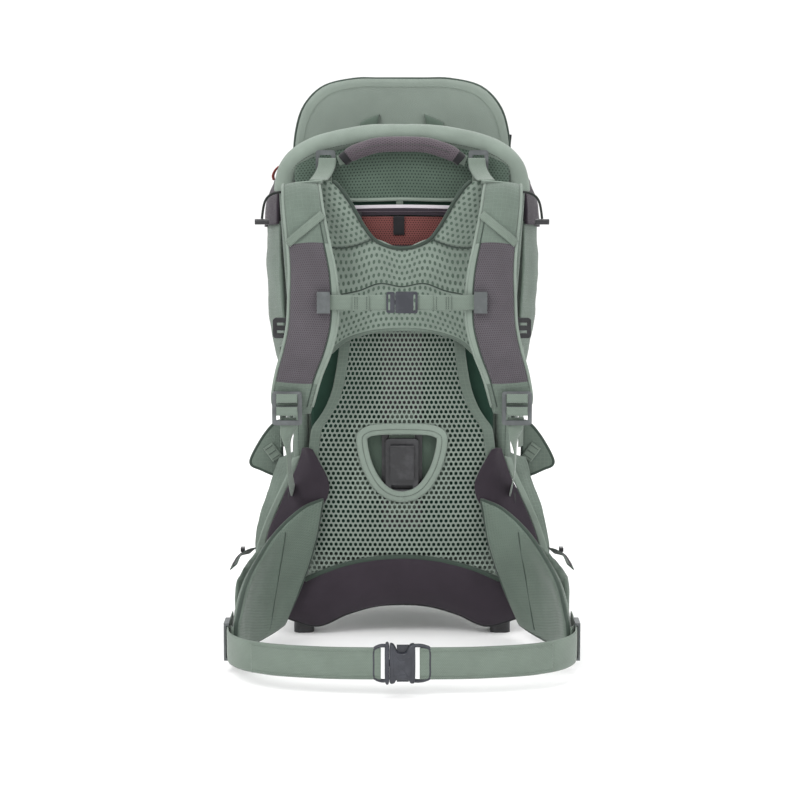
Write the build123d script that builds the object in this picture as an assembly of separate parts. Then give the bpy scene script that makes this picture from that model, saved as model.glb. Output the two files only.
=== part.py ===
from build123d import *
import math
import os

# Child carrier backpack, millimetres, +Z up, +X to the right of a person who
# looks at the harness, -Y towards the wearer.  Inside this file Y = 0 is the
# plane of the suspended back mesh; save() moves every piece back by Y_SHIFT,
# so that the finished object stands on Z = 0 centred on the origin.

# ---------------------------------------------------------------- sizes
Y_SHIFT = 29.0

FRAME_TUBE_R = 8.0
FRAME_WALL = 1.5
RIM_PAD_R = 14.0
STAY_R = 4.0
CROSS_STAY_R = 5.0
CORD_R = 1.6

FOOT_X = 128.0
FOOT_Y = 24.0
FOOT_HEIGHT = 22.0

REAR_Y = 206.0
REAR_THICK = 8.0
REAR_TOP_Z = 720.0

BAG_FRONT_Y = 42.0
BAG_DEPTH = 148.0
BAG_HALF_WIDTH = 144.0
BAG_BOTTOM_Z = 50.0
BAG_TOP_Z = 292.0
CLOTH = 3.0

STAND_PIVOT_Y = 60.0
STAND_PIVOT_Z = 170.0
STAND_LEG_X = 164.0
STAND_TUBE_R = 7.0
STAND_BAR_Y = 206.0
STAND_SLEEVE_R = 9.0
HINGE_PIN_R = 4.0
RUNNING_GAP = 0.05

MESH_THICK = 3.0
YOKE_FRONT_Y = -14.0
YOKE_THICK = 7.0
SHOULDER_PAD_THICK = 12.0
WING_THICK = 14.0

BELT_Z0 = 21.0
BELT_WIDTH = 38.0
BELT_THICK = 2.0
BELT_FRONT_Y = -268.0
BELT_SIDE_X = 209.5
STERNUM_Z0 = 431.0
STERNUM_WIDTH = 20.0
STERNUM_Y = -87.0

SIDES = {"left": -1, "right": 1}

# ---------------------------------------------------------------- helpers
def save(name, shape):
    """Writes one node, moved to the object's own origin."""
    os.makedirs("parts", exist_ok=True)
    export_step(Pos(0, Y_SHIFT, 0) * shape, f"parts/{name}.step")


def facing_y(y):
    """A plane across Y whose own axes are X and Z, looking towards -Y."""
    return Plane(origin=(0, y, 0), x_dir=(1, 0, 0), z_dir=(0, -1, 0))


def facing_x(x):
    """A plane across X whose own axes are Y and Z."""
    return Plane(origin=(x, 0, 0), x_dir=(0, 1, 0), z_dir=(1, 0, 0))


def block(x0, x1, y0, y1, z0, z1):
    """A box given by its limits on each axis, in any order."""
    size = (abs(x1 - x0), abs(y1 - y0), abs(z1 - z0))
    return Pos((x0 + x1) / 2, (y0 + y1) / 2, (z0 + z1) / 2) * Box(*size)


def panel(points, y0, y1):
    """A flat panel with an outline in X and Z, from y0 to y1."""
    outline = Polyline(*points, close=True)
    return extrude(facing_y(y1) * make_face(outline), amount=y1 - y0)


def offset_points(points, distance):
    """The points moved sideways by a distance, across the line's direction."""
    moved = []
    for i, (a, b) in enumerate(points):
        before = points[max(i - 1, 0)]
        after = points[min(i + 1, len(points) - 1)]
        run = math.hypot(after[0] - before[0], after[1] - before[1])
        across = (-(after[1] - before[1]) / run, (after[0] - before[0]) / run)
        moved.append((a + across[0] * distance, b + across[1] * distance))
    return moved


def strip(points, thick):
    """The flat outline of a strip of even thickness that follows the points."""
    one = offset_points(points, thick / 2)
    other = offset_points(points, -thick / 2)
    ends = Line(one[0], other[0]) + Line(one[-1], other[-1])
    return make_face((Spline(*one) + Spline(*other) + ends).edges())


def strip_across_x(points, thick, x0, x1):
    """A strip that follows points in Y and Z, as wide as x0 to x1."""
    return extrude(facing_x(min(x0, x1)) * strip(points, thick), amount=abs(x1 - x0))


def strip_across_z(points, thick, z0, z1):
    """A strip that follows points in X and Y, as tall as z0 to z1."""
    return extrude(Plane.XY.offset(z0) * strip(points, thick), amount=z1 - z0)


def corner_radii(points):
    """As large an arc at each corner as its two runs allow."""
    radii = []
    for a, b, c in zip(points, points[1:], points[2:]):
        before = Vector(*b) - Vector(*a)
        after = Vector(*c) - Vector(*b)
        half_turn = math.radians(before.get_angle(after)) / 2
        radii.append(0.45 * min(before.length, after.length) / math.tan(half_turn))
    return radii


def tube(points, radius, inner=0.0, radii=None):
    """A round tube along straight runs joined by tangent arcs."""
    path = FilletPolyline(*points, radius=radii or corner_radii(points))
    start = Plane(origin=path @ 0, z_dir=path % 0)
    section = Circle(radius)
    if inner:
        section -= Circle(inner)
    return sweep(start * section, path=path)


def mirrored(points):
    """Left-hand points, then the same points mirrored back down the right."""
    return points + [(-x, y, z) for x, y, z in reversed(points)]


def both_sides(shape):
    """A left-hand shape and its mirror image, as one node of two solids."""
    return Compound(children=[shape, mirror(shape, about=Plane.YZ)])


def on_side(shape, side):
    """A left-hand shape, mirrored when the side is the right one."""
    return shape if side < 0 else mirror(shape, about=Plane.YZ)


# ---------------------------------------------------------------- frame
FRAME_SIDE = [
    (-FOOT_X, FOOT_Y, 10),
    (-FOOT_X, FOOT_Y + 0.5, 180),
    (-134, 30, 380),
    (-147, 40, 566),
    (-134, 38, 604),
    (-92, 34, 632),
    (-40, 31, 644),
]


def main_frame():
    points = mirrored(FRAME_SIDE)
    return tube(points, FRAME_TUBE_R, FRAME_TUBE_R - FRAME_WALL)


def rim_pad():
    """The padded sleeve round the top of the frame."""
    radii = corner_radii(mirrored(FRAME_SIDE))
    start = Vector(*FRAME_SIDE[3]) + (Vector(*FRAME_SIDE[2]) - Vector(*FRAME_SIDE[3])) * 0.11
    points = mirrored([(start.X, start.Y, start.Z)] + FRAME_SIDE[3:])
    corners = len(points) - 2
    first = (len(radii) - corners) // 2
    return tube(points, RIM_PAD_R, FRAME_TUBE_R + 0.2, radii[first:first + corners])


def cross_stays():
    """Two rods across the frame that carry the torso plate."""
    lower = Pos(0, 24.4, 150) * Rot(0, 90, 0) * Cylinder(CROSS_STAY_R, 2 * 122)
    upper = Pos(0, 31.5, 420) * Rot(0, 90, 0) * Cylinder(CROSS_STAY_R, 2 * 130)
    return Compound(children=[lower, upper])


def torso_plate():
    """The flat plate behind the mesh that the harness height strap runs on."""
    plate = block(-26, 26, 9, 12, 140, 505)
    lower_lug = block(-10, 10, 12, 19.2, 142, 158)
    upper_lug = block(-10, 10, 12, 26.3, 412, 428)
    return plate + lower_lug + upper_lug


def frame_feet():
    """Moulded feet on the two lower ends of the frame."""
    shell = block(-FOOT_X - 13, -FOOT_X + 13, FOOT_Y - 13, FOOT_Y + 13, 0, FOOT_HEIGHT)
    shell = fillet(shell.edges().filter_by(Axis.Z), 8)
    socket = Pos(-FOOT_X, FOOT_Y, 10 + 20) * Cylinder(FRAME_TUBE_R + 0.1, 40)
    return both_sides(shell - socket)


def rear_stay():
    """One bent rod: back from the frame, then up and round inside the rear panel."""
    points = mirrored([
        (-139, 47, 532),
        (-137, 110, 545),
        (-132, 178, 566),
        (-126, 196, 630),
        (-112, 198, 690),
        (-78, 198, 708),
    ])
    return tube(points, STAY_R)


def hinge_brackets():
    """Clamps on the frame sides that hold the kickstand's pivots."""
    outline = [(8, 157), (40, 157), (70, 160), (70, 180), (40, 186), (8, 186)]
    arm = extrude(facing_x(-147) * make_face(Polyline(*outline, close=True)), amount=30)
    arm = arm - block(-140, -100, 42, 90, 150, 190)
    arm = arm - Pos(-FOOT_X, FOOT_Y + 0.4, 170) * Cylinder(FRAME_TUBE_R + 0.6, 60)
    return both_sides(arm)


def hinge_pins():
    """Shouldered pins, with heads outside the kickstand's eyes."""
    shaft = Pos(-162, STAND_PIVOT_Y, STAND_PIVOT_Z) * Rot(0, 90, 0) * Cylinder(HINGE_PIN_R, 30)
    head = Pos(-176, STAND_PIVOT_Y, STAND_PIVOT_Z) * Rot(0, 90, 0) * Cylinder(7, 4)
    return both_sides(shaft + head)


# ---------------------------------------------------------------- kickstand
def kickstand_tube():
    """A U of tube with an eye at each upper end."""
    bar_z = STAND_SLEEVE_R
    points = mirrored([
        (-STAND_LEG_X, STAND_PIVOT_Y + 6, STAND_PIVOT_Z - 6),
        (-STAND_LEG_X, STAND_BAR_Y - 24, bar_z + 26),
        (-STAND_LEG_X + 26, STAND_BAR_Y, bar_z),
    ])
    body = tube(points, STAND_TUBE_R)
    axis = Pos(-STAND_LEG_X, STAND_PIVOT_Y, STAND_PIVOT_Z) * Rot(0, 90, 0)
    eye = axis * Cylinder(11, 18)
    hole = axis * Cylinder(HINGE_PIN_R + RUNNING_GAP, 40)
    return (body + eye + mirror(eye, about=Plane.YZ)) - hole - mirror(hole, about=Plane.YZ)


def kickstand_feet():
    """Rubber sleeves on the bar that meets the ground."""
    turned = Pos(-95, STAND_BAR_Y, STAND_SLEEVE_R) * Rot(0, 90, 0)
    return both_sides(turned * (Cylinder(STAND_SLEEVE_R, 46) - Cylinder(STAND_TUBE_R + 0.1, 50)))


# ---------------------------------------------------------------- bag and cockpit
def bag_solid(inset):
    """The bag's form, drawn in by the inset on every face."""
    middle_y = BAG_FRONT_Y + BAG_DEPTH / 2
    lower = Pos(0, middle_y - 6, BAG_BOTTOM_Z + inset) * RectangleRounded(
        2 * (BAG_HALF_WIDTH - 6 - inset), BAG_DEPTH - 12 - 2 * inset, 34 - inset)
    upper = Pos(0, middle_y, BAG_TOP_Z - inset) * RectangleRounded(
        2 * (BAG_HALF_WIDTH - inset), BAG_DEPTH - 2 * inset, 40 - inset)
    return loft([lower, upper])


def lower_bag():
    return bag_solid(0) - bag_solid(CLOTH)


def side_panel():
    """One side wall of the child's cockpit."""
    line = [(-158, 60), (-169, 90), (-171, 125), (-163, 165), (-148, 196)]
    return strip_across_z(line, CLOTH, 372, 592)


def rear_panel():
    """The tall padded panel behind the child."""
    half = [(-118, 298), (-130, 430), (-140, 560), (-141, 640), (-132, 690), (-112, 714), (-80, REAR_TOP_Z)]
    outline = half + [(-x, z) for x, z in reversed(half)]
    return panel(outline, REAR_Y, REAR_Y + REAR_THICK)


def upper_panel():
    """The cloth panel under the front rim, in front of the child."""
    half = [(-118, 560), (-126, 583), (-116, 600), (-78, 613)]
    outline = half + [(-x, z) for x, z in reversed(half)]
    return panel(outline, 30, 34)


def child_seat():
    """The saddle pad, wide at the back and narrow between the legs."""
    outline = [(-32, 62), (32, 62), (44, 110), (88, 150), (88, 176), (-88, 176), (-88, 150), (-44, 110)]
    seat = extrude(Plane.XY.offset(335) * make_face(Polyline(*outline, close=True)), amount=16)
    return fillet(seat.edges().filter_by(Axis.Z), 8)


def child_harness_pads():
    """The two padded shoulder straps that hold the child."""
    line = [(187, 668), (183, 640), (182, 580), (184, 520), (187, 480)]
    return both_sides(strip_across_x(line, 9, -60, -34))


def child_harness_buckle():
    """The clip where the child's straps meet."""
    clip = block(-20, 20, 178, 190, 440, 472)
    return fillet(clip.edges().filter_by(Axis.Y), 6)


# ---------------------------------------------------------------- back panel
def suspended_mesh():
    """The stretched back mesh, with the opening for the height buckle."""
    half = [(0, 102), (-48, 98), (-93, 86), (-131, 68), (-124, 99), (-115, 139), (-108, 178), (-107, 240),
            (-102, 282), (-94, 314), (-84, 346), (-74, 372), (-66, 400)]
    outline = half + [(-x, z) for x, z in reversed(half[1:])]
    web = panel(outline, -MESH_THICK / 2, MESH_THICK / 2)
    opening = facing_y(20) * (Pos(0, 226) * RectangleRounded(92, 84, 40))
    return web - extrude(opening, amount=40)


def lumbar_panel():
    """The padded panel along the bottom of the back."""
    top = [(-150, 34), (-133, 63), (-93, 82.5), (-48, 94.5), (0, 98.5)]
    bottom = [(0, 42), (-50, 36), (-90, 22), (-112, 8)]
    half = panel(top + bottom, -3, 9)
    return half + mirror(half, about=Plane.YZ)


def reservoir_pocket():
    """The mesh sleeve for a water bladder behind the open neck."""
    return panel([(-66, 440), (66, 440), (66, 552), (-66, 552)], 15, 19)


def torso_buckle():
    """The body of the buckle that sets the harness height."""
    body = block(-21, 21, -2, 8.8, 186, 258)
    body = fillet(body.edges().filter_by(Axis.Y), 5)
    return body - block(-14, 14, -5, 12, 192, 198)


def torso_lever():
    """The lever that frees the height strap, hinged near its top edge."""
    plate = block(-15, 15, -7.6, -3.4, 206, 248)
    barrel = Pos(0, -5.5, 248) * Rot(0, 90, 0) * Cylinder(2.4, 30)
    return plate + barrel


# ---------------------------------------------------------------- harness
PAD_LINE = [
    (-22, 538),
    (-24, 566),
    (-36, 581),
    (-54, 572),
    (-66, 530),
    (-73, 485),
    (-74, 450),
    (-74, 412),
    (-69, 355),
    (-58, 306),
]


def yoke_panel():
    """The knitted panel between the shoulder straps, with its open neck."""
    half = [(-3, 396), (-50, 392), (-92, 366), (-88, 440), (-96, 500), (-104, 548)]
    top = [(-104, 574), (-92, 583), (-80, 577), (-65, 559), (-50, 535), (-36, 519), (-20, 507), (-3, 504)]
    line = half + top
    outline = line + [(-x, z) for x, z in reversed(line)]
    return panel(outline, YOKE_FRONT_Y, YOKE_FRONT_Y + YOKE_THICK)


def shoulder_pad():
    """One curved shoulder strap."""
    outer = [(-148, 600), (-147, 560), (-141, 515), (-138, 479), (-140, 429), (-147, 392), (-157, 350),
             (-162, 318), (-158, 300)]
    inner = [(-112, 296), (-108, 318), (-99, 352), (-86, 387), (-79, 417), (-77, 454), (-81, 485),
             (-89, 516), (-92, 546), (-86, 575), (-84, 600)]
    shape = panel(outer + inner, -120, 20)
    return strip_across_x(PAD_LINE, SHOULDER_PAD_THICK, -160, -60) & shape


def ladder_lock(x, y, z, width, height, thick):
    """A plate with two webbing slots, so three bars."""
    plate = block(x - width / 2, x + width / 2, y, y + thick, z, z + height)
    plate = fillet(plate.edges().filter_by(Axis.Y), 4)
    slot_height = (height - 3 * 6) / 2
    for i in range(2):
        low = z + 6 + i * (slot_height + 6)
        plate -= block(x - width / 2 + 5, x + width / 2 - 5, y - 1, y + thick + 1, low, low + slot_height)
    return plate


def shoulder_buckle():
    """The ladder lock on the end of a shoulder strap, with a round bar to tilt on."""
    plate = ladder_lock(-142, -81, 288, 37, 42, 5)
    bar = Pos(-142, -78.5, 327) * Rot(0, 90, 0) * Cylinder(2.9, 33)
    return plate + bar


def load_lifter_buckles():
    return both_sides(ladder_lock(-96.5, 8, 598, 25, 27, 5))


def load_lifter_straps():
    line = [(5.6, 614), (4.4, 603), (-8, 596), (-32, 592.5)]
    return both_sides(strip_across_x(line, 1.6, -106, -86))


def lower_straps():
    """The webbing from the shoulder buckles back to the frame's sides."""
    line = [(-76, 284), (-66, 244), (-38, 210), (-4, 192), (14, 188)]
    return both_sides(strip_across_x(line, 1.8, -152, -128))


def sternum_clips():
    """Clips that run on the front of the shoulder straps."""
    clip = block(-104, -88, -93, -81.5, STERNUM_Z0 - 3, STERNUM_Z0 + STERNUM_WIDTH + 3)
    slot = block(-92, -87, -89, -85, STERNUM_Z0 - 1, STERNUM_Z0 + STERNUM_WIDTH + 1)
    return both_sides(clip - slot)


def sternum_strap(side):
    """Webbing from a clip to the chest buckle."""
    z1 = STERNUM_Z0 + STERNUM_WIDTH
    strap = block(-91.5, -30.5, STERNUM_Y - 0.8, STERNUM_Y + 0.8, STERNUM_Z0, z1)
    return on_side(strap, side)


# ---------------------------------------------------------------- side-release buckles
def buckle_socket(y, z, scale):
    """The half that the prongs click into, open towards -X."""
    half_height = 22.5 * scale
    shell = block(-14 * scale, 33 * scale, y - 7.5 * scale, y + 7.5 * scale, z - half_height, z + half_height)
    shell = fillet(shell.edges().filter_by(Axis.Y), 4 * scale)
    cavity = block(-15 * scale, 18 * scale, y - 4 * scale, y + 4 * scale, z - 17.5 * scale, z + 17.5 * scale)
    windows = block(-15 * scale, 10 * scale, y - 2.6 * scale, y + 2.6 * scale, z - 30 * scale, z + 30 * scale)
    web_slot = block(24 * scale, 28 * scale, y - 9 * scale, y + 9 * scale, z - 17 * scale, z + 17 * scale)
    return shell - cavity - windows - web_slot


def buckle_plug(y, z, scale):
    """The half with the centre tongue, and a slot for its webbing."""
    base = block(-33 * scale, -15 * scale, y - 5 * scale, y + 5 * scale, z - 22 * scale, z + 22 * scale)
    base = fillet(base.edges().filter_by(Axis.Y), 4 * scale)
    web_slot = block(-29 * scale, -25 * scale, y - 9 * scale, y + 9 * scale, z - 17 * scale, z + 17 * scale)
    tongue = block(-15 * scale, 12 * scale, y - 2 * scale, y + 2 * scale, z - 4.5 * scale, z + 4.5 * scale)
    return (base - web_slot) + tongue


def buckle_prong(y, z, scale, up):
    """One sprung arm with its catch, above or below the tongue."""
    low, high = sorted((z + up * 10 * scale, z + up * 15.5 * scale))
    arm = block(-14.4 * scale, 12 * scale, y - 2 * scale, y + 2 * scale, low, high)
    low, high = sorted((z + up * 14 * scale, z + up * 21.5 * scale))
    catch = block(-6 * scale, 8 * scale, y - 2 * scale, y + 2 * scale, low, high)
    return arm + catch


# ---------------------------------------------------------------- hip belt
WING_LINE = [(-92, -13), (-128, -15), (-160, -30), (-183, -72), (-195, -120), (-199, -172)]


def hip_wing():
    """One padded wing of the hip belt."""
    outline = [
        (6, 66), (-14, 50), (-30, 22), (-60, 14), (-120, 18), (-180, 26),
        (-180, 60), (-140, 90), (-90, 124), (-40, 152), (6, 176),
    ]
    band = strip_across_z(WING_LINE, WING_THICK, 5, 180)
    side_view = extrude(facing_x(-230) * make_face(Polyline(*outline, close=True)), amount=150)
    inner_edge = [(-99, 182), (-108, 142), (-118, 103), (-131, 70), (-146, 40), (-158, 5), (-230, 5), (-230, 182)]
    return band & side_view & panel(inner_edge, -200, 30)


def hip_pocket():
    """The zipped pocket on the outside of a wing."""
    line = [(-177, -32), (-191, -54), (-201, -80), (-205.5, -98)]
    return strip_across_z(line, 9, 48, 122)


def hip_zip_pull():
    return block(-203, -198, -60, -50, 123.5, 128.5)


def hip_webbing():
    """Webbing from the outside of a wing round to the buckle."""
    line = [
        (-BELT_SIDE_X, -108), (-BELT_SIDE_X, -150), (-208, -185), (-190, -222),
        (-150, -250), (-95, -265), (-34.5, BELT_FRONT_Y),
    ]
    return strip_across_z(line, BELT_THICK, BELT_Z0, BELT_Z0 + BELT_WIDTH)


def hip_sliders():
    """The adjusters on the belt webbing at the ends of the wings."""
    slider = block(-214, -205.5, -178, -150, BELT_Z0 - 4, BELT_Z0 + BELT_WIDTH + 4)
    slot = block(-211.5, -207.8, -190, -140, BELT_Z0 - 1, BELT_Z0 + BELT_WIDTH + 1)
    window = block(-220, -200, -168, -160, BELT_Z0, BELT_Z0 + BELT_WIDTH)
    return both_sides(slider - slot - window - block(-207.9, -200, -190, -140, -10, 100))


# ---------------------------------------------------------------- small things
def side_buckles():
    """Compression buckles beside the frame."""
    return both_sides(ladder_lock(-155, 12, 386, 20, 26, 6))


def stirrup():
    """A foot loop wing that hangs outside the frame."""
    plate = panel([(-156, 276), (-172, 262), (-197, 222), (-191, 208), (-160, 192)], 57, 63)
    hole = panel([(-162, 250), (-181, 222), (-176, 216), (-162, 210)], 50, 70)
    return plate - hole


def stirrup_straps():
    """Webbing that each foot loop hangs from."""
    return both_sides(block(-158, -152.5, 46, 48, 240, 372))


HANDLE_R = 8.6
HANDLE_SIDE = [(-72, 8, 608), (-62, 8, 624), (-38, 8, 633)]


def grab_handle():
    """The padded carrying handle in front of the rim, with round ends to turn on."""
    x, y, z = HANDLE_SIDE[0]
    knuckle = Pos(x, y, z) * Rot(0, 90, 0) * Cylinder(HANDLE_R, 14)
    return tube(mirrored(HANDLE_SIDE), HANDLE_R) + both_sides(knuckle)


def zip_pull():
    """The pull on the reservoir pocket's zip."""
    return block(-56, -51, 11, 14, 530, 547)


ELASTIC_ROUTE = [
    (-153.5, 24, 572),
    (-164, 22, 571),
    (-173, 21, 564),
    (-177, 22, 552),
    (-178.5, 23, 538),
]


def elastic_cord():
    return tube(ELASTIC_ROUTE, CORD_R)


def cord_toggles():
    """The bar toggles on the ends of the elastic cords."""
    x, y, z = ELASTIC_ROUTE[-1]
    return both_sides(Pos(x, y, z - 3.9) * Rot(0, 90, 0) * Cylinder(3.6, 18))


# ---------------------------------------------------------------- write every node
def main():
    save("main_frame", main_frame())
    save("rim_pad", rim_pad())
    save("cross_stays", cross_stays())
    save("torso_plate", torso_plate())
    save("frame_feet", frame_feet())
    save("rear_stay", rear_stay())
    save("hinge_brackets", hinge_brackets())
    save("hinge_pins", hinge_pins())
    save("kickstand_tube", kickstand_tube())
    save("kickstand_feet", kickstand_feet())
    save("lower_bag", lower_bag())
    save("rear_panel", rear_panel())
    save("upper_panel", upper_panel())
    save("child_seat", child_seat())
    save("child_harness_pads", child_harness_pads())
    save("child_harness_buckle", child_harness_buckle())
    save("suspended_mesh", suspended_mesh())
    save("lumbar_panel", lumbar_panel())
    save("reservoir_pocket", reservoir_pocket())
    save("reservoir_zip_pull", zip_pull())
    save("torso_buckle", torso_buckle())
    save("torso_lever", torso_lever())
    save("yoke_panel", yoke_panel())
    save("load_lifter_buckles", load_lifter_buckles())
    save("load_lifter_straps", load_lifter_straps())
    save("lower_straps", lower_straps())
    save("sternum_clips", sternum_clips())
    save("hip_sliders", hip_sliders())
    save("side_buckles", side_buckles())
    save("stirrup_straps", stirrup_straps())
    save("grab_handle", grab_handle())
    save("cord_toggles", cord_toggles())

    for name, side in SIDES.items():
        save(f"side_panel_{name}", on_side(side_panel(), side))
        save(f"shoulder_pad_{name}", on_side(shoulder_pad(), side))
        save(f"shoulder_buckle_{name}", on_side(shoulder_buckle(), side))
        save(f"sternum_strap_{name}", sternum_strap(side))
        save(f"hip_wing_{name}", on_side(hip_wing(), side))
        save(f"hip_pocket_{name}", on_side(hip_pocket(), side))
        save(f"hip_zip_pull_{name}", on_side(hip_zip_pull(), side))
        save(f"hip_webbing_{name}", on_side(hip_webbing(), side))
        save(f"stirrup_{name}", on_side(stirrup(), side))
        save(f"elastic_cord_{name}", on_side(elastic_cord(), side))

    belt = (BELT_FRONT_Y, BELT_Z0 + BELT_WIDTH / 2, 1.0)
    chest = (STERNUM_Y, STERNUM_Z0 + STERNUM_WIDTH / 2, 0.58)
    for name, where in {"hip": belt, "sternum": chest}.items():
        save(f"{name}_buckle_socket", buckle_socket(*where))
        save(f"{name}_buckle_plug", buckle_plug(*where))
        save(f"{name}_prong_upper", buckle_prong(*where, 1))
        save(f"{name}_prong_lower", buckle_prong(*where, -1))
    print("elastic cord bend radii:", [round(r, 1) for r in corner_radii(ELASTIC_ROUTE)])


main()
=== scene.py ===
import math
import bpy
import bmesh
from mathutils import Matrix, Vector, noise


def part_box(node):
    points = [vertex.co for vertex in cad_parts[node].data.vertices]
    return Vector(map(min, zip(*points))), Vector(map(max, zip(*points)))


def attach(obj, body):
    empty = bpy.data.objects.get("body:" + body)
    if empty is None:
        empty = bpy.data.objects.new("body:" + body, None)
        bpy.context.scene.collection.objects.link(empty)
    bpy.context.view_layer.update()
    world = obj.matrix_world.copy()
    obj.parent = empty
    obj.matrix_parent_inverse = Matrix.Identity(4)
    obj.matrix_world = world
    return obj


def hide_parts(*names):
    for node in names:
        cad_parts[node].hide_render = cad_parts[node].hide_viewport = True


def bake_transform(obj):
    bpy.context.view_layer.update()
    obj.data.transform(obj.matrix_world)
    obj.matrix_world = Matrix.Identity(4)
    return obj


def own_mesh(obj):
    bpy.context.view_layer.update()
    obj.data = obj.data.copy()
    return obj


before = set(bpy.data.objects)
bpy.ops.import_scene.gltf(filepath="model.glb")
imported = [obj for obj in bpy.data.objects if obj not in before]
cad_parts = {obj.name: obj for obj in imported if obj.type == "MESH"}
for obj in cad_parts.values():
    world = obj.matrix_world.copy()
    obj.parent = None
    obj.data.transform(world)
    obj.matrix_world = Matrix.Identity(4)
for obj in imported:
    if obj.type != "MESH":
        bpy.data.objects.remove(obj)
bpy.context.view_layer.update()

# ------------------------------------------------------------------ places
# Shapes below are written in millimetres in the carrier's own layout: X to the
# right, Y from the plane of the back mesh (wearer's side negative), Z up.
MM = 0.001
_mesh_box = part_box("suspended_mesh")
BACK_Y = (_mesh_box[0][1] + _mesh_box[1][1]) / 2


def place(x, y, z):
    """A point of the carrier's layout, in the frame's metres."""
    return Vector((x * MM, y * MM + BACK_Y, z * MM))


def in_layout(p):
    """A point in metres as one in the carrier's layout."""
    return Vector((p.x / MM, (p.y - BACK_Y) / MM, p.z / MM))


# ------------------------------------------------------------------ node helpers
class Nodes:
    """Short calls for building one material's node tree."""

    def __init__(self, name):
        self.material = bpy.data.materials.new(name)
        self.material.use_nodes = True
        self.tree = self.material.node_tree
        self.shader = self.tree.nodes["Principled BSDF"]

    def add(self, kind, **settings):
        node = self.tree.nodes.new(kind)
        for key, value in settings.items():
            setattr(node, key, value)
        return node

    def link(self, out, into):
        self.tree.links.new(out, into)

    def math(self, operation, a, b=None, c=None, clamp=False):
        node = self.add("ShaderNodeMath", operation=operation, use_clamp=clamp)
        for i, value in enumerate((a, b, c)):
            if value is None:
                continue
            if isinstance(value, (int, float)):
                node.inputs[i].default_value = value
            else:
                self.link(value, node.inputs[i])
        return node.outputs[0]

    def coords(self, use_uv):
        """The surface's own coordinates, as three outputs in metres."""
        source = self.add("ShaderNodeTexCoord").outputs["UV" if use_uv else "Object"]
        parts = self.add("ShaderNodeSeparateXYZ")
        self.link(source, parts.inputs[0])
        return source, parts.outputs

    def noise(self, vector, scale, detail=2.0, rough=0.5):
        node = self.add("ShaderNodeTexNoise")
        node.inputs["Scale"].default_value = scale
        node.inputs["Detail"].default_value = detail
        node.inputs["Roughness"].default_value = rough
        self.link(vector, node.inputs["Vector"])
        return node.outputs["Fac"]

    def mix(self, factor, a, b):
        """A colour between a and b; each is a colour or an output."""
        node = self.add("ShaderNodeMix", data_type="RGBA")
        if isinstance(factor, float):
            node.inputs[0].default_value = factor
        else:
            self.link(factor, node.inputs[0])
        for socket, value in ((node.inputs[6], a), (node.inputs[7], b)):
            if isinstance(value, tuple):
                socket.default_value = (*value, 1.0)
            else:
                self.link(value, socket)
        return node.outputs[2]

    def ramp(self, value, low, high):
        """0 at low, 1 at high, straight between."""
        node = self.add("ShaderNodeMapRange")
        node.inputs["From Min"].default_value = low
        node.inputs["From Max"].default_value = high
        self.link(value, node.inputs["Value"])
        return node.outputs[0]

    def bump(self, height, distance, strength=1.0):
        node = self.add("ShaderNodeBump")
        node.inputs["Strength"].default_value = strength
        node.inputs["Distance"].default_value = distance
        self.link(height, node.inputs["Height"])
        self.link(node.outputs[0], self.shader.inputs["Normal"])

    def wave(self, coordinate, pitch, phase=0.0):
        """cos of a coordinate, once round in each pitch."""
        turned = self.math("MULTIPLY_ADD", coordinate, 2 * math.pi / pitch, phase)
        return self.math("COSINE", turned)

    def finish(self, colour, roughness, sheen=0.0, metallic=0.0, specular=0.4):
        if isinstance(colour, tuple):
            self.shader.inputs["Base Color"].default_value = (*colour, 1.0)
        else:
            self.link(colour, self.shader.inputs["Base Color"])
        if isinstance(roughness, float):
            self.shader.inputs["Roughness"].default_value = roughness
        else:
            self.link(roughness, self.shader.inputs["Roughness"])
        self.shader.inputs["Sheen Weight"].default_value = sheen
        self.shader.inputs["Sheen Roughness"].default_value = 0.45
        self.shader.inputs["Metallic"].default_value = metallic
        self.shader.inputs["Specular IOR Level"].default_value = specular
        return self.material


def hex_lattice(n, u, v, pitch, stretch=1.0):
    """The sum of three waves at 120 degrees: a honeycomb of dots, from -1.5 to 3."""
    step = pitch * math.sqrt(3) / 2
    slanted_u = n.math("MULTIPLY", u, math.sqrt(3) / 2)
    v = n.math("MULTIPLY", v, 1.0 / stretch)
    half_v = n.math("MULTIPLY", v, 0.5)
    one = n.wave(v, step)
    two = n.wave(n.math("ADD", slanted_u, half_v), step)
    three = n.wave(n.math("SUBTRACT", slanted_u, half_v), step)
    return n.math("ADD", n.math("ADD", one, two), three)


def mottled(n, vector, colour, share=0.12, scale=14.0):
    """The colour with slow, soft variation, as worn and folded cloth has."""
    dark = tuple(c * (1 - share) for c in colour)
    light = tuple(min(1.0, c * (1 + share)) for c in colour)
    slow = n.noise(vector, scale, 3.0, 0.6)
    return n.mix(n.ramp(slow, 0.35, 0.65), dark, light)


def spacer_mesh(name, colour, hole, pitch, stretch=1.0, depth=0.0007, threshold=0.9, use_uv=True):
    """Knitted spacer mesh: a honeycomb of small holes between rounded ribs, the holes painted in shade."""
    n = Nodes(name)
    vector, (u, v, w) = n.coords(use_uv)
    if not use_uv:
        v = w
    dots = hex_lattice(n, u, v, pitch, stretch)
    fuzz = n.noise(vector, 1400.0, 2.0)
    inside = n.ramp(n.math("ADD", dots, n.math("MULTIPLY", fuzz, 0.5)), threshold, threshold + 0.9)
    base = mottled(n, vector, colour)
    # Painted shade: the holes take the darker hole colour, standing for the shade inside the recesses between
    # the ribs.
    shade = n.mix(inside, base, hole)
    height = n.math("SUBTRACT", n.math("MULTIPLY", fuzz, 0.18), inside)
    n.bump(height, depth)
    return n.finish(shade, 0.88, sheen=0.25, specular=0.2)


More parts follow.
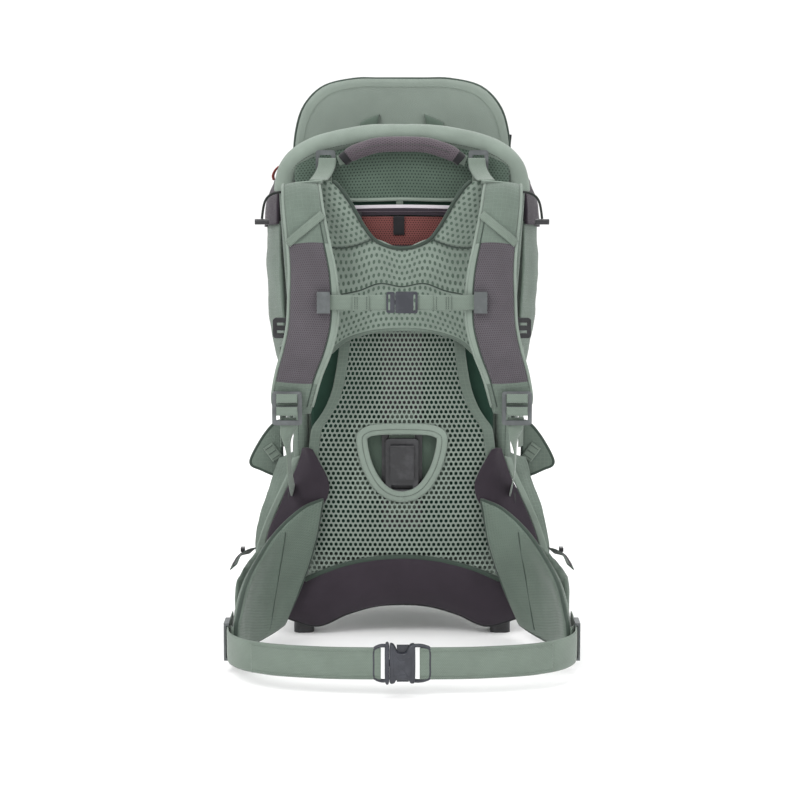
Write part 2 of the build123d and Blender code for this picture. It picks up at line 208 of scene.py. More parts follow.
def woven(name, colour, pitch_u, pitch_v, depth=0.0003, ripstop=0.0, share=0.12, sheen=0.2,
          use_uv=True, rough=0.82, groove_shade=0.3):
    """Plain weave, with a grid of thicker threads where ripstop is a spacing, and painted shade in the low
    points between threads.
    """
    n = Nodes(name)
    vector, (u, v, w) = n.coords(use_uv)
    if not use_uv:
        v = n.math("ADD", v, w)
    over = n.math("MULTIPLY", n.wave(u, 2 * pitch_u), n.wave(v, 2 * pitch_v))
    fuzz = n.noise(vector, 900.0, 3.0, 0.7)
    height = n.math("ADD", n.math("MULTIPLY", over, 0.5), n.math("MULTIPLY", fuzz, 0.5))
    if ripstop:
        lines = n.math("MAXIMUM", n.wave(u, ripstop), n.wave(v, ripstop))
        height = n.math("ADD", height, n.ramp(lines, 0.86, 1.0))
    base = mottled(n, vector, colour, share)
    # Painted shade: the weave's low points between the threads are darkened towards a third of the colour, so
    # its raised threads and ripstop lines come out lighter.
    dark = n.mix(groove_shade, base, tuple(c * 0.35 for c in colour))
    shade = n.mix(n.ramp(height, -0.2, 0.8), dark, base)
    n.bump(height, depth)
    return n.finish(shade, rough, sheen=sheen, specular=0.25)


def webbing(name, colour, across=0.0016, along=0.0022):
    """Flat webbing: ribs along its length, broken by the weft, with painted shade in the grooves."""
    n = Nodes(name)
    vector, (u, v, _) = n.coords(True)
    ribs = n.wave(u, across)
    weft = n.wave(v, along)
    offset = n.math("MULTIPLY", n.wave(u, across * 2), weft)
    fuzz = n.noise(vector, 1200.0, 2.0, 0.6)
    height = n.math("ADD", n.math("MULTIPLY", ribs, 0.35), n.math("MULTIPLY", offset, 0.45))
    height = n.math("ADD", height, n.math("MULTIPLY", fuzz, 0.35))
    base = mottled(n, vector, colour, 0.08, 22.0)
    # Painted shade: the webbing's low grooves between ribs and weft are darkened towards a third of its
    # colour, so its raised ribs read lighter.
    dark = n.mix(0.45, base, tuple(c * 0.3 for c in colour))
    shade = n.mix(n.ramp(height, -0.45, 0.35), dark, base)
    n.bump(height, 0.0004)
    return n.finish(shade, 0.72, sheen=0.25, specular=0.35)


def moulded(name, colour, rough=0.42, wear=0.5):
    """Moulded plastic: fine grain, and slightly paler worn patches."""
    n = Nodes(name)
    vector, _ = n.coords(False)
    grain = n.noise(vector, 2600.0, 2.0)
    slow = n.noise(vector, 60.0, 4.0, 0.6)
    pale = tuple(min(1.0, c * (1 + wear) + 0.01) for c in colour)
    shade = n.mix(n.ramp(slow, 0.45, 0.75), colour, pale)
    n.bump(n.math("ADD", grain, n.math("MULTIPLY", slow, 0.3)), 0.00012)
    roughness = n.math("MULTIPLY_ADD", slow, 0.2, rough - 0.1)
    return n.finish(shade, roughness, specular=0.5)


def metal(name, colour, rough=0.35):
    """Anodised tube with faint drawn scratches."""
    n = Nodes(name)
    vector, _ = n.coords(False)
    streaks = n.add("ShaderNodeMapping")
    streaks.inputs["Scale"].default_value = (1.0, 1.0, 0.05)
    n.link(vector, streaks.inputs["Vector"])
    fine = n.noise(streaks.outputs[0], 900.0, 3.0)
    shade = n.mix(n.ramp(fine, 0.3, 0.7), tuple(c * 0.85 for c in colour), colour)
    n.bump(fine, 0.00008)
    return n.finish(shade, n.math("MULTIPLY_ADD", fine, 0.2, rough), metallic=0.9, specular=0.5)


# ------------------------------------------------------------------ colours, linear
SAGE = (0.148, 0.190, 0.158)
SAGE_LIGHT = (0.232, 0.282, 0.242)
SAGE_WEB = (0.170, 0.215, 0.178)
SAGE_DARK = (0.088, 0.125, 0.098)
PIPING = (0.045, 0.065, 0.052)
PLUM = (0.032, 0.024, 0.033)
MAUVE = (0.086, 0.078, 0.088)
GREEN = (0.012, 0.040, 0.026)
RED = (0.300, 0.050, 0.040)

MATS = {
    "sage_cloth": woven("sage_cloth", SAGE, 0.0006, 0.0006, ripstop=0.0052),
    "sage_body": woven("sage_body", SAGE, 0.0006, 0.0006, ripstop=0.0052, use_uv=False),
    "green_body": woven("green_body", GREEN, 0.0008, 0.0008, 0.0003, sheen=0.1, use_uv=False),
    "rear_cloth": woven("rear_cloth", (0.235, 0.282, 0.245), 0.0006, 0.0006, 0.0003, share=0.06,
                        use_uv=False),
    "sage_light": woven("sage_light", SAGE_LIGHT, 0.0005, 0.0005, 0.0002),
    "dark_cloth": woven("dark_cloth", SAGE_DARK, 0.0011, 0.0009, 0.0004),
    "piping": woven("piping", PIPING, 0.0008, 0.0008, 0.0002),
    "webbing": webbing("webbing", SAGE_WEB),
    "black_web": webbing("black_web", (0.018, 0.018, 0.020)),
    "yoke_mesh": spacer_mesh("yoke_mesh", (0.205, 0.252, 0.215), SAGE_DARK, 0.0066, 1.25, 0.0009, 0.7),
    "wing_mesh": spacer_mesh("wing_mesh", (0.118, 0.153, 0.126), SAGE_DARK, 0.0036, 1.2, 0.0006, 1.0),
    "lattice": woven("lattice", (0.245, 0.296, 0.255), 0.0008, 0.0008, 0.0003, share=0.08),
    "upper_knit": spacer_mesh("upper_knit", (0.082, 0.118, 0.092), (0.030, 0.046, 0.036), 0.0042, 1.1, 0.0005,
                              0.8),
    "binding_plain": woven("binding_plain", SAGE_LIGHT, 0.0007, 0.0007, 0.0002),
    "zip_nylon": moulded("zip_nylon", (0.060, 0.045, 0.055), 0.5),
    "plum": woven("plum", PLUM, 0.0006, 0.0006, 0.0002, sheen=0.15),
    "plum_mesh": spacer_mesh("plum_mesh", (0.095, 0.078, 0.090), (0.030, 0.024, 0.030), 0.0030, 1.1, 0.0005,
                             0.9),
    "mauve_mesh": spacer_mesh("mauve_mesh", MAUVE, (0.045, 0.036, 0.042), 0.0027, 1.2, 0.0004, 0.9),
    "green": woven("green", GREEN, 0.0008, 0.0008, 0.0003, sheen=0.1),
    "red_mesh": spacer_mesh("red_mesh", (0.170, 0.055, 0.050), (0.030, 0.012, 0.012), 0.0032, 1.0, 0.0004,
                            0.7),
    "red_cloth": woven("red_cloth", RED, 0.0008, 0.0008, 0.0003),
    "white_cloth": woven("white_cloth", (0.62, 0.58, 0.62), 0.0006, 0.0006, 0.0002),
    "black_cloth": woven("black_cloth", (0.015, 0.015, 0.017), 0.0006, 0.0006, 0.0002),
    "cord": woven("cord", (0.020, 0.024, 0.022), 0.0006, 0.0009, 0.0002, use_uv=False),
    "thread": woven("thread", (0.200, 0.250, 0.205), 0.0008, 0.0008, 0.0001),
    "dark_thread": woven("dark_thread", (0.060, 0.080, 0.065), 0.0008, 0.0008, 0.0001),
    "slate": moulded("slate", (0.022, 0.024, 0.032), 0.38),
    "grey_plastic": moulded("grey_plastic", (0.070, 0.078, 0.080), 0.40),
    "black_plastic": moulded("black_plastic", (0.014, 0.014, 0.016), 0.36, 1.0),
    "rubber": moulded("rubber", (0.020, 0.020, 0.021), 0.72),
    "tube_metal": metal("tube_metal", (0.32, 0.33, 0.35)),
    "steel": metal("steel", (0.60, 0.60, 0.62), 0.25),
}


# ------------------------------------------------------------------ curves
def smooth_line(points, samples):
    """A Catmull-Rom curve through the points, evenly spaced along its length."""
    points = [Vector(p) for p in points]
    ends = [points[0] * 2 - points[1]] + points + [points[-1] * 2 - points[-2]]
    fine = []
    for p0, p1, p2, p3 in zip(ends, ends[1:], ends[2:], ends[3:]):
        for i in range(24):
            t = i / 24
            a = 2 * p1
            b = p2 - p0
            c = 2 * p0 - 5 * p1 + 4 * p2 - p3
            d = -p0 + 3 * p1 - 3 * p2 + p3
            fine.append((a + b * t + c * t * t + d * t * t * t) / 2)
    fine.append(points[-1])
    return even(fine, samples)


def even(fine, samples):
    """Points at equal distances along a fine line."""
    lengths = [0.0]
    for a, b in zip(fine, fine[1:]):
        lengths.append(lengths[-1] + (b - a).length)
    out, k = [], 0
    for i in range(samples):
        want = lengths[-1] * i / (samples - 1)
        while k < len(fine) - 2 and lengths[k + 1] < want:
            k += 1
        run = max(lengths[k + 1] - lengths[k], 1e-9)
        out.append(fine[k].lerp(fine[k + 1], min(max((want - lengths[k]) / run, 0.0), 1.0)))
    return out


def loop_line(points, samples):
    """A closed smooth curve through the points; its last point isn't repeated."""
    wrapped = [Vector(p) for p in points]
    wrapped = wrapped[-2:] + wrapped + wrapped[:3]
    fine = []
    for p0, p1, p2, p3 in zip(wrapped[1:], wrapped[2:], wrapped[3:], wrapped[4:]):
        for i in range(24):
            t = i / 24
            fine.append((2 * p1 + (p2 - p0) * t + (2 * p0 - 5 * p1 + 4 * p2 - p3) * t * t
                         + (-p0 + 3 * p1 - 3 * p2 + p3) * t ** 3) / 2)
    count = len(points) * 24
    fine = fine[:count + 1]
    return even(fine, samples + 1)[:-1]


def eased(t):
    """From 0 to 1 with a slow start and a slow end."""
    return t * t * (3 - 2 * t)


def value_at(pairs, t, ease=False):
    """The value at t in (t, value) pairs, with straight or eased steps between them."""
    if t <= pairs[0][0]:
        return pairs[0][1]
    for (t0, v0), (t1, v1) in zip(pairs, pairs[1:]):
        if t <= t1:
            share = (t - t0) / (t1 - t0)
            return v0 + (v1 - v0) * (eased(share) if ease else share)
    return pairs[-1][1]


# ------------------------------------------------------------------ mesh helpers
def add_piece(name, verts, faces, material, body, uvs=None, replaces=(), smooth=True):
    """One mesh object that rides on a body."""
    mesh = bpy.data.meshes.new(name)
    mesh.from_pydata([tuple(v) for v in verts], [], faces)
    mesh.validate()
    if uvs:
        layer = mesh.uv_layers.new(name="UVMap")
        for loop in mesh.loops:
            layer.data[loop.index].uv = uvs[loop.vertex_index]
    mesh.polygons.foreach_set("use_smooth", [smooth] * len(mesh.polygons))
    mesh.materials.append(MATS[material])
    obj = bpy.data.objects.new(name, mesh)
    bpy.context.scene.collection.objects.link(obj)
    outward(mesh)
    if body:
        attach(obj, body)
    if replaces:
        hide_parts(*replaces)
    return obj


def outward(mesh):
    """Turns every face of the mesh to look out."""
    bm = bmesh.new()
    bm.from_mesh(mesh)
    bmesh.ops.recalc_face_normals(bm, faces=bm.faces)
    bm.to_mesh(mesh)
    bm.free()


def crown(edge, power=4.0):
    """A thickness profile over u and v from 0 to 1: full inside, edge at the rim."""
    def profile(u, v):
        a = 1 - abs(2 * u - 1) ** power
        b = 1 - abs(2 * v - 1) ** power
        return edge + (1 - edge) * math.sqrt(max(0.0, a * b))
    return profile


def strip_crown(edge, power=4.0):
    """A profile that thins only across the width."""
    def profile(u, v):
        return edge + (1 - edge) * math.sqrt(max(0.0, 1 - abs(2 * u - 1) ** power))
    return profile


def slab_data(grid, thick, profile=None, back=0.5):
    """A closed solid about a grid of points in metres, its thickness set by a profile."""
    nu, nv = len(grid[0]) - 1, len(grid) - 1
    fronts, backs, uvs = [], [], []
    middle = nu // 2
    run_v = 0.0
    for j in range(nv + 1):
        if j:
            run_v += (grid[j][middle] - grid[j - 1][middle]).length
        run_u = -sum((grid[j][i + 1] - grid[j][i]).length for i in range(middle))
        for i in range(nu + 1):
            if i:
                run_u += (grid[j][i] - grid[j][i - 1]).length
            du = grid[j][min(i + 1, nu)] - grid[j][max(i - 1, 0)]
            dv = grid[min(j + 1, nv)][i] - grid[max(j - 1, 0)][i]
            normal = du.cross(dv)
            normal = normal.normalized() if normal.length > 1e-12 else Vector((0, -1, 0))
            t = thick * MM * (profile(i / nu, j / nv) if profile else 1.0)
            fronts.append(grid[j][i] + normal * t * (1 - back))
            backs.append(grid[j][i] - normal * t * back)
            uvs.append((run_u, run_v))
    verts = fronts + backs
    uvs = uvs + uvs
    size = (nu + 1) * (nv + 1)

    def at(i, j):
        return j * (nu + 1) + i
    faces = []
    for j in range(nv):
        for i in range(nu):
            p, q, r, t = at(i, j), at(i + 1, j), at(i + 1, j + 1), at(i, j + 1)
            faces.append((p, q, r, t))
            faces.append((p + size, t + size, r + size, q + size))
    rim = [at(i, 0) for i in range(nu)] + [at(nu, j) for j in range(nv)]
    rim += [at(i, nv) for i in range(nu, 0, -1)] + [at(0, j) for j in range(nv, 0, -1)]
    for p, q in zip(rim, rim[1:] + rim[:1]):
        faces.append((q, p, p + size, q + size))
    return verts, faces, uvs


def slab(name, grid, thick, material, body, profile=None, back=0.5, replaces=()):
    """A closed piece about a grid; returns it with its front face as a new grid."""
    verts, faces, uvs = slab_data(grid, thick, profile, back)
    obj = add_piece(name, verts, faces, material, body, uvs, replaces)
    wide = len(grid[0])
    front = [verts[j * wide:(j + 1) * wide] for j in range(len(grid))]
    return obj, front


def net(rows, nu, nv):
    """A smooth grid, in metres, through rows of control points in mm."""
    columns = [smooth_line(column, nv + 1) for column in zip(*rows)]
    grid = []
    for j in range(nv + 1):
        across = smooth_line([column[j] for column in columns], nu + 1)
        grid.append([place(*p) for p in across])
    return grid


def mirror_rows(rows):
    """The same net on the other side, its normals still the same way."""
    return [[(-x, y, z) for x, y, z in reversed(row)] for row in rows]


def on_both(rows, side):
    return rows if side < 0 else mirror_rows(rows)


def part_of(grid, u0, u1, v0, v1, nu, nv, lift=0.0):
    """A finer piece of a grid, lifted off it by a distance in mm."""
    wide, tall = len(grid[0]) - 1, len(grid) - 1

    def sample(u, v):
        x, y = min(max(u, 0), 1) * wide, min(max(v, 0), 1) * tall
        i, j = min(int(x), wide - 1), min(int(y), tall - 1)
        low = grid[j][i].lerp(grid[j][i + 1], x - i)
        high = grid[j + 1][i].lerp(grid[j + 1][i + 1], x - i)
        return low.lerp(high, y - j)
    out = []
    step = 0.01
    for b in range(nv + 1):
        row = []
        v = v0 + (v1 - v0) * b / nv
        for a in range(nu + 1):
            left = u0(v) if callable(u0) else u0
            right = u1(v) if callable(u1) else u1
            u = left + (right - left) * a / nu
            p = sample(u, v)
            du = sample(u + step, v) - sample(u - step, v)
            dv = sample(u, v + step) - sample(u, v - step)
            row.append(p + du.cross(dv).normalized() * lift * MM)
        out.append(row)
    return out


def edge_of(grid, which):
    """An edge of a grid as points in mm in the carrier's layout."""
    picked = {
        "first": [row[0] for row in grid], "last": [row[-1] for row in grid],
        "bottom": grid[0], "top": grid[-1],
    }[which]
    return [in_layout(p) for p in picked]


def band_grid(path, width, across, nu, nv):
    """A grid along a path in mm; width and across may vary from 0 to 1 along it."""
    line = smooth_line(path, nv + 1)
    grid = []
    for j, p in enumerate(line):
        v = j / nv
        w = width(v) if callable(width) else width
        a = Vector(across(v) if callable(across) else across).normalized()
        grid.append([place(*(p + a * (i / nu - 0.5) * w)) for i in range(nu + 1)])
    return grid


def band(name, path, width, across, thick, material, body, edge=0.55, power=8.0, nu=8, nv=60,
         replaces=()):
    """A strip of webbing or binding along a path."""
    grid = band_grid(path, width, across, nu, nv)
    return slab(name, grid, thick, material, body, strip_crown(edge, power), 0.5, replaces)[0]


def cushion_data(line, middle, shares, spot):
    """A closed solid with two crowned faces, each made of rings from an outline in to its middle.

    spot gives the vertex and the UV of a place on a face, from the ring's share of the outline.
    """
    samples = len(line)
    verts, faces, uvs, rims = [], [], [], []
    for sign in (-1, 1):
        layer = []
        for share in shares:
            layer.append([len(verts) + i for i in range(samples)])
            for p in line:
                vert, uv = spot(middle.lerp(p, share), sign, share)
                verts.append(vert)
                uvs.append(uv)
        centre = len(verts)
        vert, uv = spot(middle, sign, 0.0)
        verts.append(vert)
        uvs.append(uv)
        rims.append(layer[0])
        for one, two in zip(layer, layer[1:]):
            for i in range(samples):
                n = (i + 1) % samples
                faces.append((one[i], one[n], two[n], two[i]))
        faces += [(layer[-1][i], layer[-1][(i + 1) % samples], centre) for i in range(samples)]
    front, back = rims
    for i in range(samples):
        n = (i + 1) % samples
        faces.append((front[i], front[n], back[n], back[i]))
    return verts, faces, uvs


def pillow(name, outline, y, thick, material, body, edge=0.3, samples=96, rings=14, bend=None,
           power=3.0, replaces=()):
    """A crowned panel with a smooth closed outline in X and Z, standing across Y."""
    line = loop_line([(x, 0, z) for x, z in outline], samples)
    middle = sum(line, Vector((0, 0, 0))) / len(line)

    def spot(q, sign, share):
        t = thick / 2 * (edge + (1 - edge) * math.sqrt(max(0.0, 1 - share ** power)))
        lean = bend(q.x, q.z) if bend else 0.0
        return place(q.x, y + sign * t + lean, q.z), (q.x * MM, q.z * MM)

    shares = [1 - (k / rings) ** 1.3 for k in range(rings)]
    verts, faces, uvs = cushion_data(line, middle, shares, spot)
    return add_piece(name, verts, faces, material, body, uvs, replaces)


def tube_data(line, radius_a, radius_b=None, sides=12, up=None, closed=False):
    """A tube with an oval section along fine points, in mm, in the layout."""
    radius_b = radius_b or radius_a
    verts, faces, uvs = [], [], []
    count = len(line)
    run = 0.0
    for k, p in enumerate(line):
        before = line[(k - 1) % count] if closed else line[max(k - 1, 0)]
        after = line[(k + 1) % count] if closed else line[min(k + 1, count - 1)]
        along = (after - before).normalized()
        first = Vector(up) if up else Vector((0, 1, 0))
        side = first.cross(along)
        if side.length < 1e-4:
            side = Vector((1, 0, 0)).cross(along)
        side.normalize()
        top = along.cross(side).normalized()
        if k:
            run += (p - line[k - 1]).length
        for i in range(sides):
            angle = 2 * math.pi * i / sides
            q = p + side * math.cos(angle) * radius_a + top * math.sin(angle) * radius_b
            verts.append(place(*q))
            uvs.append((i / sides * math.pi * (radius_a + radius_b) * MM, run * MM))
    rings = count if closed else count - 1
    for k in range(rings):
        for i in range(sides):
            a = k * sides + i
            b = k * sides + (i + 1) % sides
            c = ((k + 1) % count) * sides + (i + 1) % sides
            d = ((k + 1) % count) * sides + i
            faces.append((a, b, c, d))
    if not closed:
        faces.append(tuple(range(sides))[::-1])
        faces.append(tuple((count - 1) * sides + i for i in range(sides)))
    return verts, faces, uvs


def line_tube(name, line, radius_a, radius_b, sides, material, body, up=None, closed=False,
              replaces=()):
    """A tube, a piping or a seam along fine points."""
    verts, faces, uvs = tube_data(line, radius_a, radius_b, sides, up, closed)
    return add_piece(name, verts, faces, material, body, uvs, replaces)


def tube(name, points, radius_a, material, body, radius_b=None, sides=12, samples=60, up=None,
         closed=False, replaces=()):
    """A tube along a smooth curve through a few points."""
    line = loop_line(points, samples) if closed else smooth_line(points, samples)
    return line_tube(name, line, radius_a, radius_b, sides, material, body, up, closed, replaces)


def join_data(parts):
    """Several (verts, faces, uvs) as one."""
    verts, faces, uvs = [], [], []
    for part in parts:
        start = len(verts)
        verts += part[0]
        faces += [tuple(i + start for i in face) for face in part[1]]
        uvs += part[2]
    return verts, faces, uvs


def stitch_data(line, pitch=3.2, length=2.2, radius=0.42, up=(0, 1, 0)):
    """A row of short raised stitches along fine points in mm."""
    total = sum((b - a).length for a, b in zip(line, line[1:]))
    count = max(2, int(total / pitch))
    spots = even(line, count * 2 + 1)
    parts = []
    for k in range(count):
        a, b = spots[2 * k], spots[2 * k + 1]
        along = (b - a).normalized()
        middle = (a + b) / 2
        half = along * length / 2
        lift = Vector(up).normalized() * -0.25
        run = [middle - half * 1.0, middle - half * 0.5 + lift, middle + half * 0.5 + lift,
               middle + half * 1.0]
        parts.append(tube_data(run, radius, radius, 5))
    return join_data(parts)


def stitches(name, lines, material, body, pitch=3.2, length=2.2, radius=0.42, up=(0, 1, 0)):
    parts = [stitch_data(line, pitch, length, radius, up) for line in lines]
    verts, faces, uvs = join_data(parts)
    return add_piece(name, verts, faces, material, body, uvs)


SIDES = {"left": -1, "right": 1}


def flip(points, side):
    """Left-hand points, mirrored when the side is the right one."""
    return [Vector((x if side < 0 else -x, y, z)) for x, y, z in points]


def there_and_back(points):
    """Left-hand points, then their mirror images in reverse."""
    return points + [(-x, y, z) for x, y, z in reversed(points)]


def symmetric(rows):
    """Rows given from the left edge to the middle, completed on the right."""
    return [row + [(-x, y, z) for x, y, z in reversed(row[:-1])] for row in rows]


# ------------------------------------------------------------------ frame sleeve and handle
RIM_SIDE = [
    (-150, 42, 572), (-148.5, 41, 585), (-143, 40, 602), (-128, 38, 618), (-104, 35, 630),
    (-72, 33, 638), (-36, 31, 643),
]


def rim_and_panel():
    line = smooth_line(there_and_back(RIM_SIDE), 121)
    verts, faces, uvs = tube_data(line, 14.2, 14.2, 28)
    rim = add_piece("rim_cover", verts, faces, "sage_light", "frame", uvs, ["rim_pad"])
    wrinkle(rim, 0.0006, 26.0)
    seam = [Vector((p.x, p.y - 12.6, p.z - 6.5)) for p in line[4:-4]]
    stitches("rim_stitching", [seam], "dark_thread", "frame", 3.4, 2.3, 0.4)

    rows = symmetric([
        [(-130, 27, 566), (-64, 23.5, 562), (0, 22.5, 563)],
        [(-136, 27, 583), (-66, 24, 588), (0, 23, 592)],
        [(-136, 27, 602), (-67, 24, 614), (0, 23.5, 620)],
        [(-126, 29, 617), (-64, 25, 632), (0, 24, 637)],
    ])
    grid = net(rows, 40, 20)
    slab("upper_cloth", grid, 2.4, "upper_knit", "frame", replaces=["upper_panel"])
    line_tube("upper_cloth_binding", edge_of(grid, "bottom"), 2.6, 2.0, 10, "sage_light", "frame")


PUFF_FRAMES = 20
PUFF_VOXEL = 0.006


def puff(obj, cap, shrink=0.0, pressure=4.0):
    """Lets a padded piece swell like stuffed cloth, each point by cap metres at most."""
    for v in obj.data.vertices:
        v.co -= v.normal * shrink
    scene = bpy.context.scene
    trial = bpy.data.objects.new("trial", obj.data.copy())
    scene.collection.objects.link(trial)
    remesh = trial.modifiers.new("remesh", "REMESH")
    remesh.mode = "VOXEL"
    remesh.voxel_size = PUFF_VOXEL
    bake_modifiers(trial)
    start = [v.co.copy() for v in trial.data.vertices]
    cloth = trial.modifiers.new("cloth", "CLOTH")
    cloth.settings.use_pressure = True
    cloth.settings.uniform_pressure_force = pressure
    cloth.settings.effector_weights.gravity = 0.0
    cloth.point_cache.frame_start = 1
    cloth.point_cache.frame_end = PUFF_FRAMES
    for k in range(1, PUFF_FRAMES + 1):
        scene.frame_set(k)
    bake_modifiers(trial)
    scene.frame_set(1)
    for v, home in zip(trial.data.vertices, start):
        moved = v.co - home
        if moved.length > cap:
            v.co = home + moved.normalized() * cap
    trial.modifiers.new("smooth", "SUBSURF").levels = 1
    bake_modifiers(trial)
    material = obj.data.materials[0]
    obj.data = trial.data
    obj.data.materials.clear()
    obj.data.materials.append(material)
    obj.data.polygons.foreach_set("use_smooth", [True] * len(obj.data.polygons))
    bpy.data.objects.remove(trial)


def bake_modifiers(obj):
    """Keeps what the object's modifiers give as its own mesh."""
    evaluated = obj.evaluated_get(bpy.context.evaluated_depsgraph_get())
    mesh = bpy.data.meshes.new_from_object(evaluated)
    obj.modifiers.clear()
    obj.data = mesh


def wrinkle(obj, amount, scale, seed=0.0):
    """Soft hand-sized unevenness, in metres, along each point's normal."""
    for v in obj.data.vertices:
        p = v.co * scale + Vector((seed, seed * 0.7, -seed))
        v.co += v.normal * amount * (noise.noise(p) + 0.5 * noise.noise(p * 2.7))


def handle():
    line = smooth_line(there_and_back([(-74, 8, 613), (-64, 7.5, 620), (-48, 7, 626.5), (-24, 7, 632)]), 81)
    count = len(line)
    verts, faces, uvs = tube_data(line, 9.6, 8.2, 22)
    for k in range(count):
        t = abs(2 * k / (count - 1) - 1)
        slim = 1 - 0.34 * max(0.0, (t - 0.80) / 0.20) ** 1.5
        centre = place(*line[k])
        for i in range(22):
            verts[k * 22 + i] = centre + (verts[k * 22 + i] - centre) * slim
    grip = add_piece("handle_grip", verts, faces, "plum_mesh", "grab_handle", uvs,
                     ["grab_handle"])
    for name, side in SIDES.items():
        ends = flip([(-66, 7.5, 618), (-72, 7, 615), (-77, 7.4, 613), (-80.5, 8, 611.5)], side)
        band(f"handle_webbing_{name}", ends, 13, (0.3 * side, -0.2, 1.0), 2.0, "webbing", "grab_handle",
             nv=24)
        cap = flip([(-75, 8, 612), (-72, 7.8, 614.6), (-68, 7.6, 617.6)], side)
        tube(f"handle_cap_{name}", cap, 8.4, "black_cloth", "grab_handle", 8.0, 20, 14)
    seam = [Vector((p.x, p.y - 8.9, p.z)) for p in line[8:-8]]
    stitches("handle_stitching", [seam], "dark_thread", "grab_handle", 3.2, 2.2, 0.35)


# ------------------------------------------------------------------ rear panel and cockpit
REAR_HALF = [
    (-128, 450), (-139, 540), (-145, 610), (-141, 655), (-129, 686), (-104, 709), (-64, 718.5), (-30, 719),
]


REAR_PANEL_Y = 200


def mirrored_outline(half):
    return half + [(-x, z) for x, z in reversed(half)]


def rear_bend(x, z):
    """The rear panel curves forward a little at its sides."""
    return -0.0004 * x * x


def rear_panel():
    outline = mirrored_outline([(-96, 300), (-117, 312), (-124, 380)] + REAR_HALF)
    y = REAR_PANEL_Y
    panel = pillow("rear_panel_pad", outline, y, 26, "rear_cloth", "frame", 0.45,
                   120, 16, rear_bend, 4.0, ["rear_panel"])
    wrinkle(panel, 0.0008, 16.0, 3.0)
    line = loop_line([(x, 0, z) for x, z in outline], 200)
    trim = [Vector((p.x * 1.005, y + rear_bend(p.x, p.z), p.z)) for p in line]
    line_tube("rear_piping", trim, 2.4, 2.4, 10, "piping", "frame", closed=True)
    inner = [Vector((p.x * 0.93, y + rear_bend(p.x * 0.93, p.z) - 10.4, 508 + (p.z - 508) * 0.95))
             for p in line]
    outer = [Vector((p.x, p.y + 20.8, p.z)) for p in inner]
    stitches("rear_stitching", [inner + inner[:1], outer + outer[:1]], "thread", "frame", 3.6, 2.5, 0.36)


def rear_details():
    """A stretch pocket, a zip and a carrying loop on the back of the rear panel."""
    rows = symmetric([
        [(-104, 206, 318), (-54, 213, 312), (0, 215, 311)],
        [(-112, 206, 380), (-58, 217, 378), (0, 220, 377)],
        [(-117, 205, 440), (-60, 216, 440), (0, 219, 440)],
        [(-122, 204, 490), (-62, 213, 482), (0, 215, 478)],
    ])
    grid = [row[::-1] for row in net(rows, 60, 50)]
    pocket, _ = slab("rear_pocket", grid, 3.4, "upper_knit", "frame", crown(0.5, 6.0))
    wrinkle(pocket, 0.0018, 18.0, 4.0)
    line_tube("rear_pocket_binding", edge_of(grid, "top"), 3.4, 2.4, 10, "sage_light", "frame")
    ring = edge_of(grid, "first")[::-1] + edge_of(grid, "bottom")[1:] + edge_of(grid, "last")[1:]
    line_tube("rear_pocket_piping", even(ring, 160), 2.0, 2.0, 8, "piping", "frame")
    arc = [(-112, 206.5, 540), (-84, 210, 560), (-42, 212.6, 570), (0, 213.4, 573), (42, 212.6, 570),
           (84, 210, 560), (112, 206.5, 540)]
    band("rear_zip_tape", arc, 14, (0, 0, 1), 1.8, "piping", "frame", nv=90)
    teeth = [p + Vector((0, 1.2, 0)) for p in smooth_line(arc, 80)]
    stitches("rear_zip_teeth", [teeth], "zip_nylon", "frame", 2.0, 1.3, 0.85, (0, -1, 0))
    loop = [(-22, 209, 688), (-18, 214, 680), (0, 217, 676), (18, 214, 680), (22, 209, 688)]
    band("rear_loop", loop, 13, (0, 0.2, 1), 2.0, "webbing", "frame", nv=40)


def cockpit_sides():
    for name, side in SIDES.items():
        lower = [
            [(-144, 48, 268), (-151, 92, 262), (-152, 128, 262), (-149, 166, 264), (-130, 194, 272)],
            [(-147, 50, 320), (-158, 92, 326), (-160, 128, 330), (-154, 166, 330), (-131, 198, 326)],
            [(-152, 52, 400), (-171, 92, 404), (-174, 130, 404), (-165, 168, 404), (-138, 202, 400)],
            [(-156, 54, 470), (-174, 92, 470), (-178, 130, 470), (-168, 170, 470), (-142, 204, 470)],
            [(-157, 56, 534), (-173, 94, 530), (-177, 132, 526), (-167, 172, 526), (-143, 204, 534)],
        ]
        upper = [
            [(-160, 54, 530), (-176.5, 94, 526), (-180.5, 132, 522), (-170.5, 173, 522), (-146, 207, 530)],
            [(-158, 50, 566), (-173, 92, 560), (-177, 130, 556), (-169, 171, 560), (-146, 206, 572)],
            [(-151, 46, 596), (-163, 88, 586), (-167, 126, 580), (-161, 168, 590), (-142, 204, 614)],
        ]
        cloth, _ = slab(f"cockpit_side_{name}", net(on_both(lower, side), 40, 40), 3.0, "sage_cloth", "frame",
                        replaces=[f"side_panel_{name}"])
        wrinkle(cloth, 0.0022, 22.0, side * 5.0)
        top_grid = net(on_both(upper, side), 40, 20)
        top, _ = slab(f"cockpit_side_top_{name}", top_grid, 3.6, "plum", "frame")
        wrinkle(top, 0.0012, 26.0, side * 2.0)
        for label, grid, which in (("rim", top_grid, "top"),
                                   ("hem", net(on_both(lower, side), 40, 40), "bottom")):
            line_tube(f"cockpit_{label}_{name}", edge_of(grid, which), 2.8, 2.8, 10, "piping", "frame")


SEAT_Z = 343
SEAT_HALF_THICK = 8.5
SEAT_DISH = 0.0011


